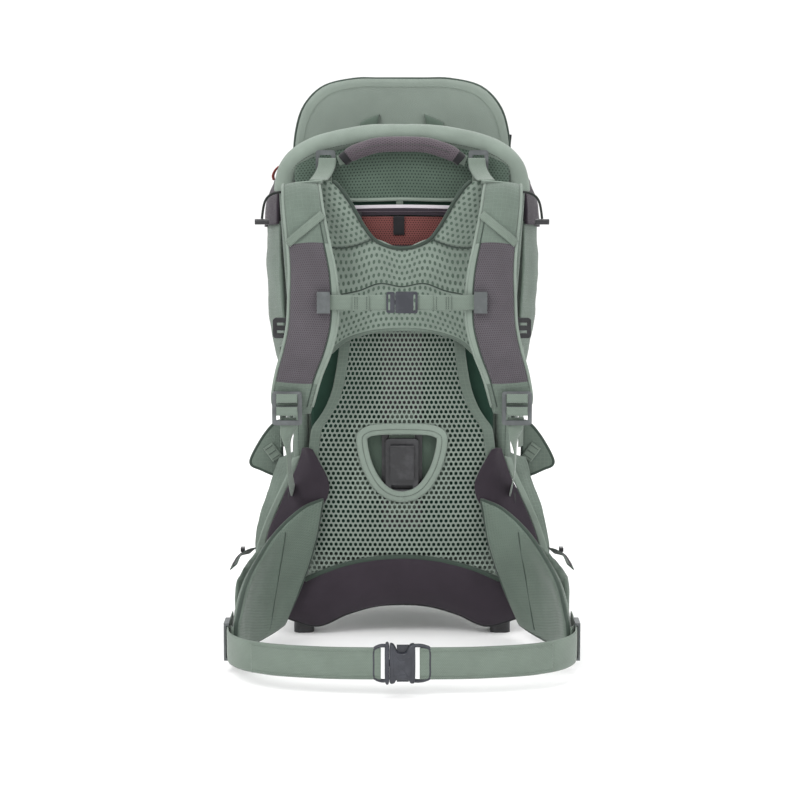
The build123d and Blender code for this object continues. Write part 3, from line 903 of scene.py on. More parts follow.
def child_seat_and_harness():
    outline = [(-34, 64), (34, 64), (46, 108), (84, 142), (90, 172), (60, 176), (-60, 176), (-90, 172),
               (-84, 142), (-46, 108)]
    line = loop_line([(x, y, 0) for x, y in outline], 96)
    middle = Vector((0, 128, 0))

    def spot(q, sign, share):
        t = SEAT_HALF_THICK * (0.35 + 0.65 * math.sqrt(max(0.0, 1 - share ** 4)))
        return place(q.x, q.y, SEAT_Z + sign * t + SEAT_DISH * q.x * q.x), (q.x * MM, q.y * MM)

    rings = 12
    verts, faces, uvs = cushion_data(line, middle, [1 - k / rings for k in range(rings)], spot)
    seat = add_piece("seat_pad", verts, faces, "green_body", "seat", uvs, ["child_seat"])
    puff(seat, 0.006, 0.0015)
    rim = [Vector((p.x, p.y, SEAT_Z + SEAT_DISH * p.x * p.x)) for p in line]
    line_tube("seat_piping", rim, 2.0, 2.0, 8, "piping", "seat", up=(0, 0, 1), closed=True)

    for name, side in SIDES.items():
        path = flip([(-42, 187, 665), (-44, 182, 662), (-46, 180, 640), (-46, 180, 580), (-44, 181, 520),
                     (-36, 184, 478)], side)
        grid = band_grid(path, lambda v: 27 - 6 * v, lambda v: (1, 0, 0.45 * side * -max(0.0, 1 - 6 * v)), 12,
                         60)
        pad, _ = slab(f"child_strap_pad_{name}", grid, 9, "dark_cloth", "frame",
                      crown(0.35, 4.0))
        band(f"child_strap_{name}", flip([(-40, 186, 500), (-30, 184, 478), (-12, 184, 462)], side), 15,
             (0.5, 0, 0.85), 1.6, "black_web", "frame", nv=20)
    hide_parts("child_harness_pads")


# ------------------------------------------------------------------ back mesh
MESH_HALF = [
    (60, 133), (68, 132), (99, 126), (139, 118), (170, 112), (200, 110), (245, 108), (272, 103), (285, 94),
    (300, 85), (321, 77), (345, 72), (374, 68), (402, 66),
]
HOLE_CENTRE_Z = 226
MESH_BOTTOM_Z, MESH_TOP_Z = 62, 404
MESH_PITCH = 6.3
MESH_ROW_STEP = MESH_PITCH * 0.98
CELL_CORNERS = [(0, 0.62), (0.5, 0.36), (0.5, -0.36), (0, -0.62), (-0.5, -0.36), (-0.5, 0.36)]
CELL_OPEN_X, CELL_OPEN_Z = 0.66, 0.68
HOLE_OUTLINE = [
    (0, 184), (-24, 193), (-42, 220), (-50, 254), (-44, 265), (-24, 269), (24, 269), (44, 265), (50, 254),
    (42, 220), (24, 193),
]


def mesh_half_width(z):
    return value_at(MESH_HALF, z)


def mesh_squeeze(z):
    """How much the lattice narrows towards the top of the back."""
    return 1 - 0.16 * min(1.0, max(0.0, (z - 250) / 110))


def mesh_bottom(x):
    return 103 - 34 * (x / 131) ** 2


def mesh_depth(x, z):
    """The stretched web bows back a little between the frame's sides."""
    return -1.5 + 6.0 * (x / 130) ** 2 + 1.5 * math.sin((z - 70) / 330 * math.pi)


def inside_loop(x, z, line):
    """Whether a point is inside a closed line of points."""
    inside = False
    for p, q in zip(line, line[1:] + line[:1]):
        if (p.z > z) != (q.z > z) and x < (q.x - p.x) * (z - p.z) / (q.z - p.z) + p.x:
            inside = not inside
    return inside


def suspended_mesh():
    """A lattice of real holes, narrower towards the top of the back."""
    hole = loop_line([(x, 0, z) for x, z in HOLE_OUTLINE], 72)
    index, verts, faces, uvs = {}, [], [], []

    def vertex(x, z, layer):
        key = (round(x * 20), round(z * 20), layer)
        if key not in index:
            index[key] = len(verts)
            squeeze = mesh_squeeze(z)
            verts.append(place(x * squeeze, mesh_depth(x * squeeze, z) + layer * 1.6, z))
            uvs.append((x * MM, z * MM))
        return index[key]

    for r in range(int((MESH_TOP_Z - MESH_BOTTOM_Z) / MESH_ROW_STEP)):
        z = MESH_BOTTOM_Z + 2 + r * MESH_ROW_STEP
        squeeze = mesh_squeeze(z)
        half = mesh_half_width(z) / squeeze + MESH_PITCH * 0.3
        for c in range(-26, 27):
            x = (c + 0.5 * (r % 2)) * MESH_PITCH
            if abs(x) > half or z < mesh_bottom(x) - 1 or inside_loop(x * squeeze, z, hole):
                continue
            rim = [(x + a * MESH_PITCH, z + b * MESH_PITCH) for a, b in CELL_CORNERS]
            inner = [(x + (p - x) * CELL_OPEN_X, z + (q - z) * CELL_OPEN_Z) for p, q in rim]
            for i in range(6):
                n = (i + 1) % 6
                a0, a1 = vertex(*rim[i], 0), vertex(*rim[n], 0)
                b0, b1 = vertex(*inner[i], 0), vertex(*inner[n], 0)
                c0, c1 = vertex(*rim[i], 1), vertex(*rim[n], 1)
                d0, d1 = vertex(*inner[i], 1), vertex(*inner[n], 1)
                faces.append((a0, a1, b1, b0))
                faces.append((c0, d0, d1, c1))
                faces.append((b0, b1, d1, d0))
    add_piece("mesh_web", verts, faces, "lattice", "frame", uvs, ["suspended_mesh"],
              smooth=False)
    for name, side in SIDES.items():
        steps = [402, 374, 345, 321, 300, 285, 272, 255, 232, 200, 170]
        path = [(-(mesh_half_width(z) + 5.5), mesh_depth(mesh_half_width(z), z) - 1.6, z) for z in steps]
        band(f"mesh_binding_{name}", flip(path, side), 13.5, (1, 0.12, 0.0), 2.6, "sage_cloth", "frame",
             nv=70)
    rim = loop_line([(x * 1.03, mesh_depth(x, z) - 2.0, HOLE_CENTRE_Z + (z - HOLE_CENTRE_Z) * 1.03)
                     for x, z in HOLE_OUTLINE], 120)
    line_tube("buckle_opening_binding", rim, 7.2, 2.0, 16, "binding_plain", "frame",
              closed=True)
    inner_stitch = [Vector((p.x * 0.99, p.y - 2.4, HOLE_CENTRE_Z + (p.z - HOLE_CENTRE_Z) * 0.99))
                    for p in rim]
    stitches("opening_stitching", [inner_stitch + inner_stitch[:1]], "dark_thread", "frame", 3.0, 2.1, 0.32)
    bottom = [(x, mesh_depth(x, 80) - 1.8, mesh_bottom(x) + 1) for x in range(-126, 127, 18)]
    line_tube("mesh_bottom_binding", smooth_line(bottom, 90), 3.4, 1.8, 10, "piping", "frame")


def behind_opening():
    """The cloth panel and height webbing seen through the opening."""
    rows = symmetric([
        [(-62, 12.9, 176), (0, 12.9, 174)],
        [(-62, 12.9, 226), (0, 12.9, 226)],
        [(-62, 12.9, 278), (0, 12.9, 280)],
    ])
    slab("opening_backing", net(rows, 20, 20), 1.2, "dark_cloth", "frame")
    for label, low, high in (("upper", 256, 292), ("lower", 160, 191)):
        band(f"height_webbing_{label}", [(0, 7.6, low), (0, 7.2, (low + high) / 2), (0, 7.6, high)], 33,
             (1, 0, 0), 1.8, "webbing", "frame", nv=20)


def back_wall():
    """The dark cloth behind the mesh, and the sleeves over the frame's uprights."""
    rows = symmetric([
        [(-116, 15, 106), (-60, 14.5, 104), (0, 14.5, 104)],
        [(-116, 15, 180), (-60, 14.5, 180), (0, 14.5, 180)],
        [(-117, 16, 300), (-60, 14.5, 300), (0, 14.5, 300)],
        [(-120, 20, 390), (-62, 15.5, 390), (0, 15, 390)],
        [(-126, 32, 436), (-64, 26, 436), (0, 25, 436)],
        [(-134, 50, 500), (-66, 46, 500), (0, 45, 500)],
        [(-140, 55, 552), (-68, 50, 552), (0, 48, 552)],
    ])
    wall, _ = slab("back_wall", net(rows, 60, 80), 2.0, "green", "frame")
    wrinkle(wall, 0.0012, 20.0)
    for name, side in SIDES.items():
        line = flip([(-129.3, 25.4, 206), (-130.8, 27, 280), (-134, 30, 380), (-141, 35.4, 480),
                     (-146.6, 39.6, 560),
                     (-146.5, 40, 576)], side)
        tube(f"upright_sleeve_{name}", line, 10.2, "sage_cloth", "frame", 10.2, 20, 90)
        seam = [p + Vector((side * 3.0, -10.0, 0)) for p in smooth_line(line, 60)]
        stitches(f"upright_stitching_{name}", [seam], "dark_thread", "frame", 3.4, 2.3, 0.34)


def lumbar():
    rows = symmetric([
        [(-152, 8, 22), (-110, 4, 12), (-72, 2, 28), (-36, 0, 39), (0, -1, 42)],
        [(-150, 4, 36), (-112, -2, 40), (-74, -5, 54), (-37, -6, 63), (0, -6, 67)],
        [(-140, 4, 56), (-112, 0, 68), (-75, -3, 82), (-38, -4, 92), (0, -4, 95)],
        [(-134, 6, 66), (-112, 4, 78), (-75, 2, 92), (-38, 1, 100), (0, 1, 103)],
    ])
    grid = net(rows, 100, 36)
    pad, _ = slab("lumbar_pad", grid, 9, "plum", "frame", crown(0.3, 3.0),
                  replaces=["lumbar_panel"])
    wrinkle(pad, 0.0007, 24.0, 1.0)
    line_tube("lumbar_piping", edge_of(grid, "bottom"), 2.2, 2.2, 10, "black_cloth", "frame")


# ------------------------------------------------------------------ yoke and neck
def yoke():
    left_low = [
        [(-90, -6, 370), (-70, -9, 387), (-38, -10, 397)],
        [(-84, -7, 400), (-58, -10.5, 412), (-30, -11.5, 420)],
        [(-80, -8, 428), (-54, -11, 438), (-28, -12, 444)],
        [(-80, -8, 456), (-56, -11.5, 462), (-28, -12.5, 466)],
        [(-87, -8, 484), (-62, -11.5, 486), (-30, -12.5, 488)],
        [(-94, -8, 508), (-66, -11.5, 506), (-34, -12, 514)],
    ]
    centre = [(0, -10, 400), (0, -11.5, 423), (0, -12, 446), (0, -12.5, 467), (0, -12.5, 486), (0, -12, 503)]
    rows = []
    for low, mid in zip(left_low, centre):
        rows.append(low + [mid] + [(-x, y, z) for x, y, z in reversed(low)])
    grid = net(rows, 72, 60)
    chest, front = slab("yoke_body", grid, 7.5, "yoke_mesh", "harness", crown(0.45, 8.0),
                        replaces=["yoke_panel"])
    seam = part_of(front, 0.02, 0.98, 0.53, 0.545, 60, 1, 0.2)
    line_tube("yoke_seam", edge_of(seam, "bottom"), 0.9, 0.5, 6, "piping", "harness")
    line_tube("yoke_lower_binding", edge_of(front, "bottom"), 2.6, 2.0, 10, "sage_cloth", "harness")
    for name, side in SIDES.items():
        horn = [
            [(-95, -9, 504), (-77, -11.5, 503), (-58, -12.5, 506), (-37, -12, 514)],
            [(-99, -10, 530), (-84, -12.5, 531), (-68, -13.5, 530), (-50, -12.5, 534)],
            [(-104, -12, 556), (-92, -15, 558), (-79, -15.5, 558), (-64, -13.5, 559)],
            [(-108, -15, 574), (-100, -18, 578), (-90, -18.5, 579), (-78, -16, 577)],
            [(-107, -16, 583), (-101, -18, 586), (-93, -18.5, 587), (-86, -16.5, 584)],
        ]
        grid = net(on_both(horn, side), 30, 50)
        piece, _ = slab(f"yoke_horn_{name}", grid, 8, "yoke_mesh", "harness",
                            crown(0.45, 6.0))
    neck = [(-86, -20, 587), (-77, -19.5, 578), (-64, -17.5, 559), (-50, -16, 534), (-36, -15.5, 515),
            (-20, -15.5, 506), (-6, -15.5, 503)]
    line_tube("neck_binding", smooth_line(there_and_back(neck), 120), 2.4, 2.4, 10, "piping", "harness")
    for name, side in SIDES.items():
        cross = flip([(-95, -13.5, 504), (-77, -16, 503), (-58, -17, 506), (-37, -16.5, 514)], side)
        line_tube(f"yoke_cross_seam_{name}", smooth_line(cross, 30), 1.0, 0.7, 6, "piping", "harness")


def neck_opening():
    """What shows in the open neck: the bladder sleeve, its zip, and the cloth above."""
    rows = symmetric([
        [(-64, 17, 442), (0, 15, 442)],
        [(-66, 17, 480), (0, 14.5, 480)],
        [(-68, 17.5, 520), (0, 15, 520)],
        [(-70, 18, 541), (0, 16, 542)],
    ])
    sleeve, _ = slab("bladder_sleeve", net(rows, 40, 30), 2.2, "red_mesh", "frame",
                     replaces=["reservoir_pocket"])
    wrinkle(sleeve, 0.0008, 30.0)
    band("zip_tape", [(-72, 16.5, 546), (-36, 14.6, 547), (0, 14, 547.5), (36, 14.6, 547), (72, 16.5, 546)],
         9,
         (0, 0.1, 1), 1.4, "plum", "frame", nv=50)
    teeth = [Vector((x, 14.0 + 0.0005 * x * x - 1.0, 547.2)) for x in range(-68, 69, 4)]
    stitches("zip_teeth", [teeth], "zip_nylon", "frame", 1.7, 1.2, 0.75)
    band("zip_binding", [(-72, 17.2, 552.5), (-36, 15.6, 553.5), (0, 15, 554), (36, 15.6, 553.5),
                         (72, 17.2, 552.5)],
         4.5, (0, 0.1, 1), 1.6, "white_cloth", "frame", nv=50)
    rows = symmetric([
        [(-74, 27, 549), (0, 25, 549)],
        [(-76, 28, 562), (0, 26.5, 562)],
        [(-78, 30, 578), (0, 28.5, 578)],
    ])
    slab("neck_backing", net(rows, 30, 12), 1.6, "green", "frame")
    band("neck_webbing", [(-3, 23.5, 549), (-3, 22.5, 560), (-3, 23.8, 570)], 9, (1, 0, 0), 1.2, "webbing",
         "frame",
         nv=12)
    rows = [[(-11, 12.6, 518), (3, 12.4, 518)], [(-11, 12.6, 542), (3, 12.4, 542)]]
    slab("plain_label", net(rows, 6, 8), 0.9, "black_cloth", "frame")


# ------------------------------------------------------------------ shoulder straps
PAD_ROWS = [
    [(-147, -20, 543), (-124, -21, 541), (-102, -21, 540)],
    [(-148, -22, 565), (-125, -25, 567), (-103, -25, 567)],
    [(-148, -34, 578), (-125, -38, 581), (-103, -38, 581)],
    [(-147, -51, 572), (-124, -56, 573), (-100, -55, 571)],
    [(-145, -63, 545), (-120, -67, 544), (-95, -66, 543)],
    [(-141, -68, 512), (-114, -73, 511), (-88, -72, 510)],
    [(-139, -71, 479), (-110, -77, 478), (-81, -75, 477)],
    [(-140, -72, 445), (-110, -78, 445), (-78, -76, 445)],
    [(-142, -71, 412), (-111, -77, 412), (-79, -75, 412)],
    [(-148, -69, 382), (-119, -75, 381), (-87, -73, 380)],
    [(-157, -65, 350), (-129, -70, 349), (-100, -68, 347)],
    [(-162, -60, 320), (-136, -64, 318), (-109, -62, 316)],
    [(-158, -57, 303), (-136, -60, 300), (-114, -58, 300)],
]


def shoulder_pads():
    rows = [row[::-1] for row in PAD_ROWS]
    for name, side in SIDES.items():
        grid = net(on_both(rows, side), 30, 150)
        pad, front = slab(f"shoulder_strap_{name}", grid, 12.5, "sage_cloth", "harness",
                          crown(0.30, 4.0), replaces=[f"shoulder_pad_{name}"])

        def across(u):
            """u from the outer edge, whichever side this is."""
            return 1 - u if side < 0 else u
        spans = {
            "face": (0.07, 0.84, 0.37, 0.885, "mauve_mesh", 1.6, "grey_mesh_fabric"),
            "top_patch": (0.06, 0.95, 0.15, 0.375, "sage_cloth", 1.8, "sage_fabric"),
            "end_patch": (0.05, 0.95, 0.88, 0.99, "sage_cloth", 1.9, "sage_fabric"),
            "inner_strip": (0.855, 0.965, 0.375, 0.885, "sage_light", 1.8, "sage_fabric"),
        }
        for label, (a, b, v0, v1, material, thick, slot) in spans.items():
            u0, u1 = sorted((across(a), across(b)))
            patch = part_of(front, u0, u1, v0, v1, 24, 70, 0.25)
            slab(f"shoulder_{label}_{name}", patch, thick, material, "harness", crown(0.4, 10.0))
        for label, u, material, radius in (("outer_piping", 0.035, "sage_light", 1.9),
                                           ("inner_piping", 0.975, "sage_light", 1.9),
                                           ("mid_seam", 0.85, "piping", 0.9)):
            a = across(u)
            strip = part_of(front, a - 0.001, a + 0.001, 0.30 if "mid" in label else 0.12, 0.97, 2, 110, 0.9)
            line = [in_layout(row[1]) for row in strip]
            line_tube(f"shoulder_{label}_{name}", line, radius, radius, 8, material, "harness")
        cross = flip([(-140, -76, 512), (-130, -80.8, 521), (-119, -81, 530), (-108, -78, 539),
                      (-97, -73, 548)], side)
        band(f"diagonal_webbing_{name}", cross, 10, (0.64 * -side, 0, -0.77), 1.4, "webbing", "harness",
             nv=24)


def load_and_lower_straps():
    for name, side in SIDES.items():
        lifter = band(f"load_lifter_{name}", flip([(-94, 5.6, 615), (-95, 1, 605), (-98, -9, 597),
                      (-101.5, -22, 591.5), (-104, -38, 588.5)], side), 22, (1, 0, 0), 1.6, "webbing",
                      None, nv=50)
        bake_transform(lifter)
        anchor = flip([(-134, -46, 583.5), (-116, -49, 585.5), (-98, -46, 587)], side)
        band(f"lifter_anchor_{name}", anchor, 6, (0, -0.7, 0.7), 2.0, "binding_plain", "harness",
             nv=24)
        tail = flip([(-97, 6.0, 606), (-97.5, 3.5, 590), (-98, 3.0, 576), (-98, 4.0, 560)], side)
        band(f"lifter_tail_{name}", tail, 18, (1, 0, 0), 1.5, "webbing", "frame", nv=40)

        low = flip([(-141, -76, 297), (-141, -76.5, 282), (-141, -70, 252), (-141, -54, 224),
                    (-140, -30, 204),
                    (-140, -4, 192), (-140, 14, 188)], side)

        def twist(v):
            """Flat at the buckle, then turned edge-on as it runs back."""
            turn = eased(min(1.0, v / 0.28))
            return (1 - 0.82 * turn, 0.8 * turn, 0.6 * turn)

        strap = band(f"lower_strap_{name}", low, 20, twist, 1.7, "webbing", None, nv=110)
        if side < 0:
            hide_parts("lower_straps")
            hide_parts("load_lifter_straps")
        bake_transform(strap)
        for k, z in enumerate((306, 322)):
            loop = flip([(-155, -84.2, z), (-142, -84.8, z), (-129, -84.2, z)], side)
            band(f"lock_webbing_{name}_{k}", loop, 11, (0, 0.12, 1), 1.4, "webbing",
                 f"shoulder_buckle_{name}",
                 nv=16)


def chest_strap():
    for name, side in SIDES.items():
        start = flip([(-91, -87.2, 441)], side)[0]
        end = flip([(-18.5 if side < 0 else -17, -87, 441)], side)[0]
        run = [start, start.lerp(end, 0.35) + Vector((0, 0.4, -0.7)),
               start.lerp(end, 0.7) + Vector((0, 0.2, -0.5)), end]
        strap = band(f"chest_strap_{name}", run, 19, (0, 0, 1), 1.6, "webbing", "sternum_strap",
                     nv=60, replaces=[f"sternum_strap_{name}"])
        fold = band(f"chest_fold_{name}", [start.lerp(end, 0.42) + Vector((0, -1.7, -0.6)),
                    start.lerp(end, 0.56) + Vector((0, -1.9, -0.6)),
                    start.lerp(end, 0.70) + Vector((0, -1.7, -0.5))],
                    19.4, (0, 0, 1), 1.6, "webbing", "sternum_strap", nv=16)
        lines = []
        for t in (0.46, 0.5, 0.66):
            x = start.x + (end.x - start.x) * t
            lines.append([Vector((x, -89.9, 433)), Vector((x, -89.9, 441)), Vector((x, -89.9, 449))])
        tacks = stitches(f"chest_tacks_{name}", lines, "dark_thread", "sternum_strap", 2.6, 1.9, 0.32)
        if side < 0:
            for piece in (strap, fold, tacks):
                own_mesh(piece)


# ------------------------------------------------------------------ hip belt
WING_ROWS = [
    [(-152, -20, 20), (-131, -15, 68), (-113, -12, 122), (-102, -9, 180)],
    [(-163, -38, 16), (-155, -30, 62), (-143, -26, 112), (-128, -20, 170)],
    [(-178, -68, 14), (-177, -62, 55), (-172, -54, 98), (-158, -45, 146)],
    [(-190, -105, 16), (-191, -102, 48), (-189, -96, 84), (-180, -85, 118)],
    [(-197, -145, 20), (-198, -142, 46), (-197, -138, 70), (-192, -128, 96)],
    [(-199, -176, 27), (-199.5, -176, 40), (-199.5, -176, 52), (-199, -174, 62)],
]


def hip_belt():
    for name, side in SIDES.items():
        grid = net(on_both(WING_ROWS, side), 56, 110)
        wing, front = slab(f"hip_wing_pad_{name}", grid, 13.5, "wing_mesh", "frame",
                           crown(0.34, 4.0), replaces=[f"hip_wing_{name}"])
        wrinkle(wing, 0.0009, 20.0, side * 4.0)
        ring = edge_of(grid, "bottom") + edge_of(grid, "last")[1:] + edge_of(grid, "top")[::-1][1:]
        ring += edge_of(grid, "first")[::-1][1:-1]
        line = even(ring + ring[:1], 260)[:-1]
        line_tube(f"hip_wing_piping_{name}", line, 2.6, 2.6, 10, "piping", "frame",
                  closed=True)
        dart = part_of(front, 0.06, 0.94, 0.26, 0.40, 40, 1, 0.1)
        line_tube(f"hip_wing_dart_{name}", edge_of(dart, "bottom"), 0.9, 0.5, 6, "piping", "frame")

        low, high = (0.30, 0.86) if side < 0 else (0.14, 0.70)
        outside = part_of(grid, low, high, 0.24, 0.62, 40, 50, -15.5)
        pocket, _ = slab(f"hip_pouch_{name}", outside, 13, "sage_body", "frame",
                         crown(0.3, 3.0),
                         replaces=[f"hip_pocket_{name}"])
        puff(pocket, 0.005, 0.001)
        wrinkle(pocket, 0.0012, 28.0, side * 7.0)
        zip_path = flip([(-190, -36, 120), (-199, -56, 121.6), (-205, -80, 120), (-208, -104, 115)], side)
        band(f"hip_zip_tape_{name}", zip_path, 12, (0.75 * -side, 0, 0.66), 1.6, "piping", "frame",
             nv=50)
        teeth = [p + Vector((side * 1.1, 0, 1.2)) for p in smooth_line(zip_path, 40)]
        stitches(f"hip_zip_teeth_{name}", [teeth], "zip_nylon", "frame", 1.8, 1.2, 0.75, (0, 0, 1))

        run = flip([(-209.6, -104, 40), (-209.6, -150, 40), (-208.6, -184, 40), (-201, -212, 40),
                    (-180, -237, 40),
                    (-144, -254, 40), (-95, -264, 40), (-60, -267.2, 40), (-25, -268, 40)], side)
        if side > 0:
            run[-1] = Vector((21, -268, 40))
        strap = band(f"hip_strap_{name}", run, 37.5, (0, 0, 1), 2.2, "webbing", "frame",
                     nu=12,
                     nv=160, replaces=[f"hip_webbing_{name}"])
        fold_line = flip([(-176, -241, 40), (-144, -256, 40), (-95, -266.2, 40), (-60, -269.4, 40),
                          (-24.4, -270.4, 40)],
                         side)
        if side > 0:
            fold_line[-1] = Vector((20.4, -270.4, 40))
        fold = band(f"hip_strap_fold_{name}", fold_line, 37.2, (0, 0, 1), 1.8, "webbing", "frame",
                    nu=12, nv=100)
        edges = [[p + Vector((0, -1.4, lift)) for p in smooth_line(fold_line, 70)] for lift in (-15.5, 15.5)]
        seam = stitches(f"hip_strap_stitching_{name}", edges, "thread", "frame", 3.4, 2.4, 0.32)
        tip = flip([(-199, -170, 41), (-203.5, -176, 40.5), (-207.3, -166, 40)], side)
        band(f"wing_tip_webbing_{name}", tip, 35, (0, 0, 1), 2.0, "webbing", "frame", nv=30)
        if side < 0:
            for piece in (strap, fold, seam):
                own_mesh(piece)


def hip_buckle():
    """The belt's side-release buckle: notched body, side frames and the plug's collar."""
    y, z = -268, 40
    body = [(-14, 21.8), (-11, 22.4), (-8.5, 20), (-5.5, 14.5), (0, 12.4), (5, 14.5), (8, 20), (11, 22.4),
            (14.5, 21.4), (15.4, 12), (15.4, -12), (14.5, -21.4), (10, -22.4), (7, -18.8), (-6, -18.8),
            (-9, -22.4), (-14, -21.8), (-14.4, -10), (-14.4, 10)]
    body = [(px, z + pz) for px, pz in body]
    pillow("hip_buckle_body", body, y, 14.6, "slate", "frame", 0.72, 170, 14, power=9.0,
           replaces=["hip_buckle_socket"])
    inset = [(px * 0.68, z - 2.5 + (pz - z) * 0.52) for px, pz in body]
    pillow("hip_buckle_face", inset, y - 6.9, 1.6, "slate", "frame", 0.5, 90, 6, power=8.0)
    bars = [(12.5, 20.6), (20, 21.0), (27, 19.6), (32, 16.0), (32.4, 0), (32, -16.0), (27, -19.6),
            (20, -21.0),
            (12.5, -20.6)]
    tube("hip_buckle_frame", [(px, y, z + pz) for px, pz in bars], 2.0, "slate", "frame", 3.6,
         16,
         90)
    collar = [(-15.0, 21.8), (-19.4, 21.6), (-20, 0), (-19.4, -21.6), (-15.0, -21.8), (-14.7, 0)]
    pillow("hip_plug_collar", [(px, z + pz) for px, pz in collar], y, 12.4, "slate", "hip_plug",
           0.75, 80, 8, power=8.0, replaces=["hip_buckle_plug"])
    bars = [(-17, 20.4), (-23, 20.8), (-29, 19.0), (-32.4, 15.0), (-32.6, 0), (-32.4, -15.0), (-29, -19.0),
            (-23, -20.8), (-17, -20.4)]
    tube("hip_plug_frame", [(px, y, z + pz) for px, pz in bars], 2.0, "slate", "hip_plug",
         3.6, 16,
         90)
    tube("hip_plug_tongue", [(-16, y, z), (-4, y, z), (9, y, z), (12, y, z)], 4.2, "slate", "hip_plug",
         1.9, 16, 20)


def hip_sides():
    """The plum panels and sage flaps between the back mesh and the wings."""
    for name, side in SIDES.items():
        rows = [
            [(-182, 20, 62), (-162, 10, 56), (-144, 3, 50)],
            [(-174, 18, 124), (-150, 5, 118), (-125, -4, 112)],
            [(-162, 16, 158), (-136, 2, 156), (-107, -6, 162)],
            [(-149, 13, 188), (-124, -1, 190), (-95, -7, 185)],
            [(-137, 10, 214), (-118, -2, 216), (-94, -6.5, 205)],
            [(-130, 8, 234), (-118, -2, 237), (-107, -4, 231)],
            [(-127, 7, 245), (-121, 0, 246), (-115, -2, 244)],
        ]
        cloth, _ = slab(f"hip_side_{name}", net(on_both(rows, side), 40, 60), 3.2, "plum", "frame")
        wrinkle(cloth, 0.0012, 26.0, side * 9.0)
        rows = [
            [(-186, 36, 70), (-174, 28, 62), (-160, 24, 58)],
            [(-192, 38, 108), (-180, 29, 112), (-166, 24, 108)],
            [(-184, 38, 152), (-170, 28, 156), (-156, 23, 160)],
            [(-172, 40, 190), (-158, 30, 196), (-146, 24, 200)],
            [(-160, 42, 226), (-146, 34, 232), (-134, 26, 240)],
        ]
        flap_grid = net(on_both(rows, side), 30, 50)
        cloth, _ = slab(f"bag_flap_{name}", flap_grid, 2.8, "sage_cloth", "frame")
        wrinkle(cloth, 0.0016, 26.0, side * 11.0)
        for k, (shift, width, material) in enumerate(((0, 11, "binding_plain"), (9, 8, "sage_light"))):
            path = flip([(-191 + shift, 26, 78), (-184 + shift, 24, 112), (-173 + shift, 21, 146),
                         (-158 + shift, 18, 180), (-143 + shift, 15, 212), (-136 + shift, 14, 232)], side)
            band(f"side_fold_{name}_{k}", path, width, (1, 0.1, 0.32 * -side), 2.6, material, "frame",
                 nv=50)


# ------------------------------------------------------------------ bag
BAG_HALF = [(50, 128), (90, 146), (160, 149), (240, 146), (292, 140)]


def lower_bag():
    """A lofted shell that sags at its bottom, open to nothing."""
    sides = 96
    levels = [50, 53, 60, 74, 92, 116, 144, 172, 200, 228, 254, 274, 286, 291]
    shrink = [0.78, 0.88, 0.945, 0.985, 1.0, 1.01, 1.01, 1.0, 0.995, 0.99, 0.985, 0.975, 0.955, 0.90]
    verts, faces, uvs = [], [], []
    for z, share in zip(levels, shrink):
        half = value_at(BAG_HALF, z, ease=True) * share
        deep = 73 * (share * 0.5 + 0.5)
        for i in range(sides):
            a = 2 * math.pi * i / sides
            c, s = math.cos(a), math.sin(a)
            x = half * math.copysign(abs(c) ** 0.42, c)
            y = 116 + deep * math.copysign(abs(s) ** 0.42, s)
            verts.append(place(x, y, z))
            uvs.append((a * 0.09, z * MM))
    for j in range(len(levels) - 1):
        for i in range(sides):
            n = (i + 1) % sides
            faces.append((j * sides + i, j * sides + n, (j + 1) * sides + n, (j + 1) * sides + i))
    faces.append(tuple(range(sides))[::-1])
    faces.append(tuple((len(levels) - 1) * sides + i for i in range(sides)))
    bag = add_piece("bag_shell", verts, faces, "sage_body", "frame", uvs, ["lower_bag"])
    soften(bag, 1)
    wrinkle(bag, 0.0024, 17.0, 2.0)


def soften(obj, levels):
    """Subdivides a piece and keeps the result as its mesh."""
    obj.modifiers.new("subdivision", "SUBSURF").levels = levels
    bake_modifiers(obj)


def bag_details():
    rows = symmetric([
        [(-112, 189, 66), (-60, 193, 62), (0, 194.5, 61)],
        [(-120, 190, 112), (-62, 200, 110), (0, 203, 110)],
        [(-120, 190, 170), (-62, 200, 172), (0, 202, 172)],
        [(-114, 189, 214), (-60, 194, 220), (0, 195, 221)],
    ])
    grid = [row[::-1] for row in net(rows, 60, 50)]
    pocket, _ = slab("bag_pocket", grid, 5, "dark_cloth", "frame", crown(0.35, 5.0))
    wrinkle(pocket, 0.0016, 18.0, 5.0)
    ring = edge_of(grid, "bottom") + edge_of(grid, "last")[1:] + edge_of(grid, "top")[::-1][1:]
    ring += edge_of(grid, "first")[::-1][1:-1]
    line_tube("bag_pocket_piping", even(ring + ring[:1], 220)[:-1], 2.2, 2.2, 8, "piping", "frame",
              closed=True)
    zip_line = [(-128, 178, 244), (-112, 187.5, 246), (-60, 190.5, 248), (0, 191, 248), (60, 190.5, 248),
                (112, 187.5, 246), (128, 178, 244)]
    band("bag_zip_tape", zip_line, 15, (0, 0.05, 1), 1.8, "piping", "frame", nv=100)
    teeth = [p + Vector((0, 1.4, 0)) for p in smooth_line(zip_line, 80)]
    stitches("bag_zip_teeth", [teeth], "zip_nylon", "frame", 2.0, 1.3, 0.9, (0, -1, 0))
    band("bag_zip_hood", [p + Vector((0, 2.6, 7)) for p in smooth_line(zip_line, 40)], 10, (0, 0.35, 1), 2.0,
         "sage_light", "frame", nv=100)


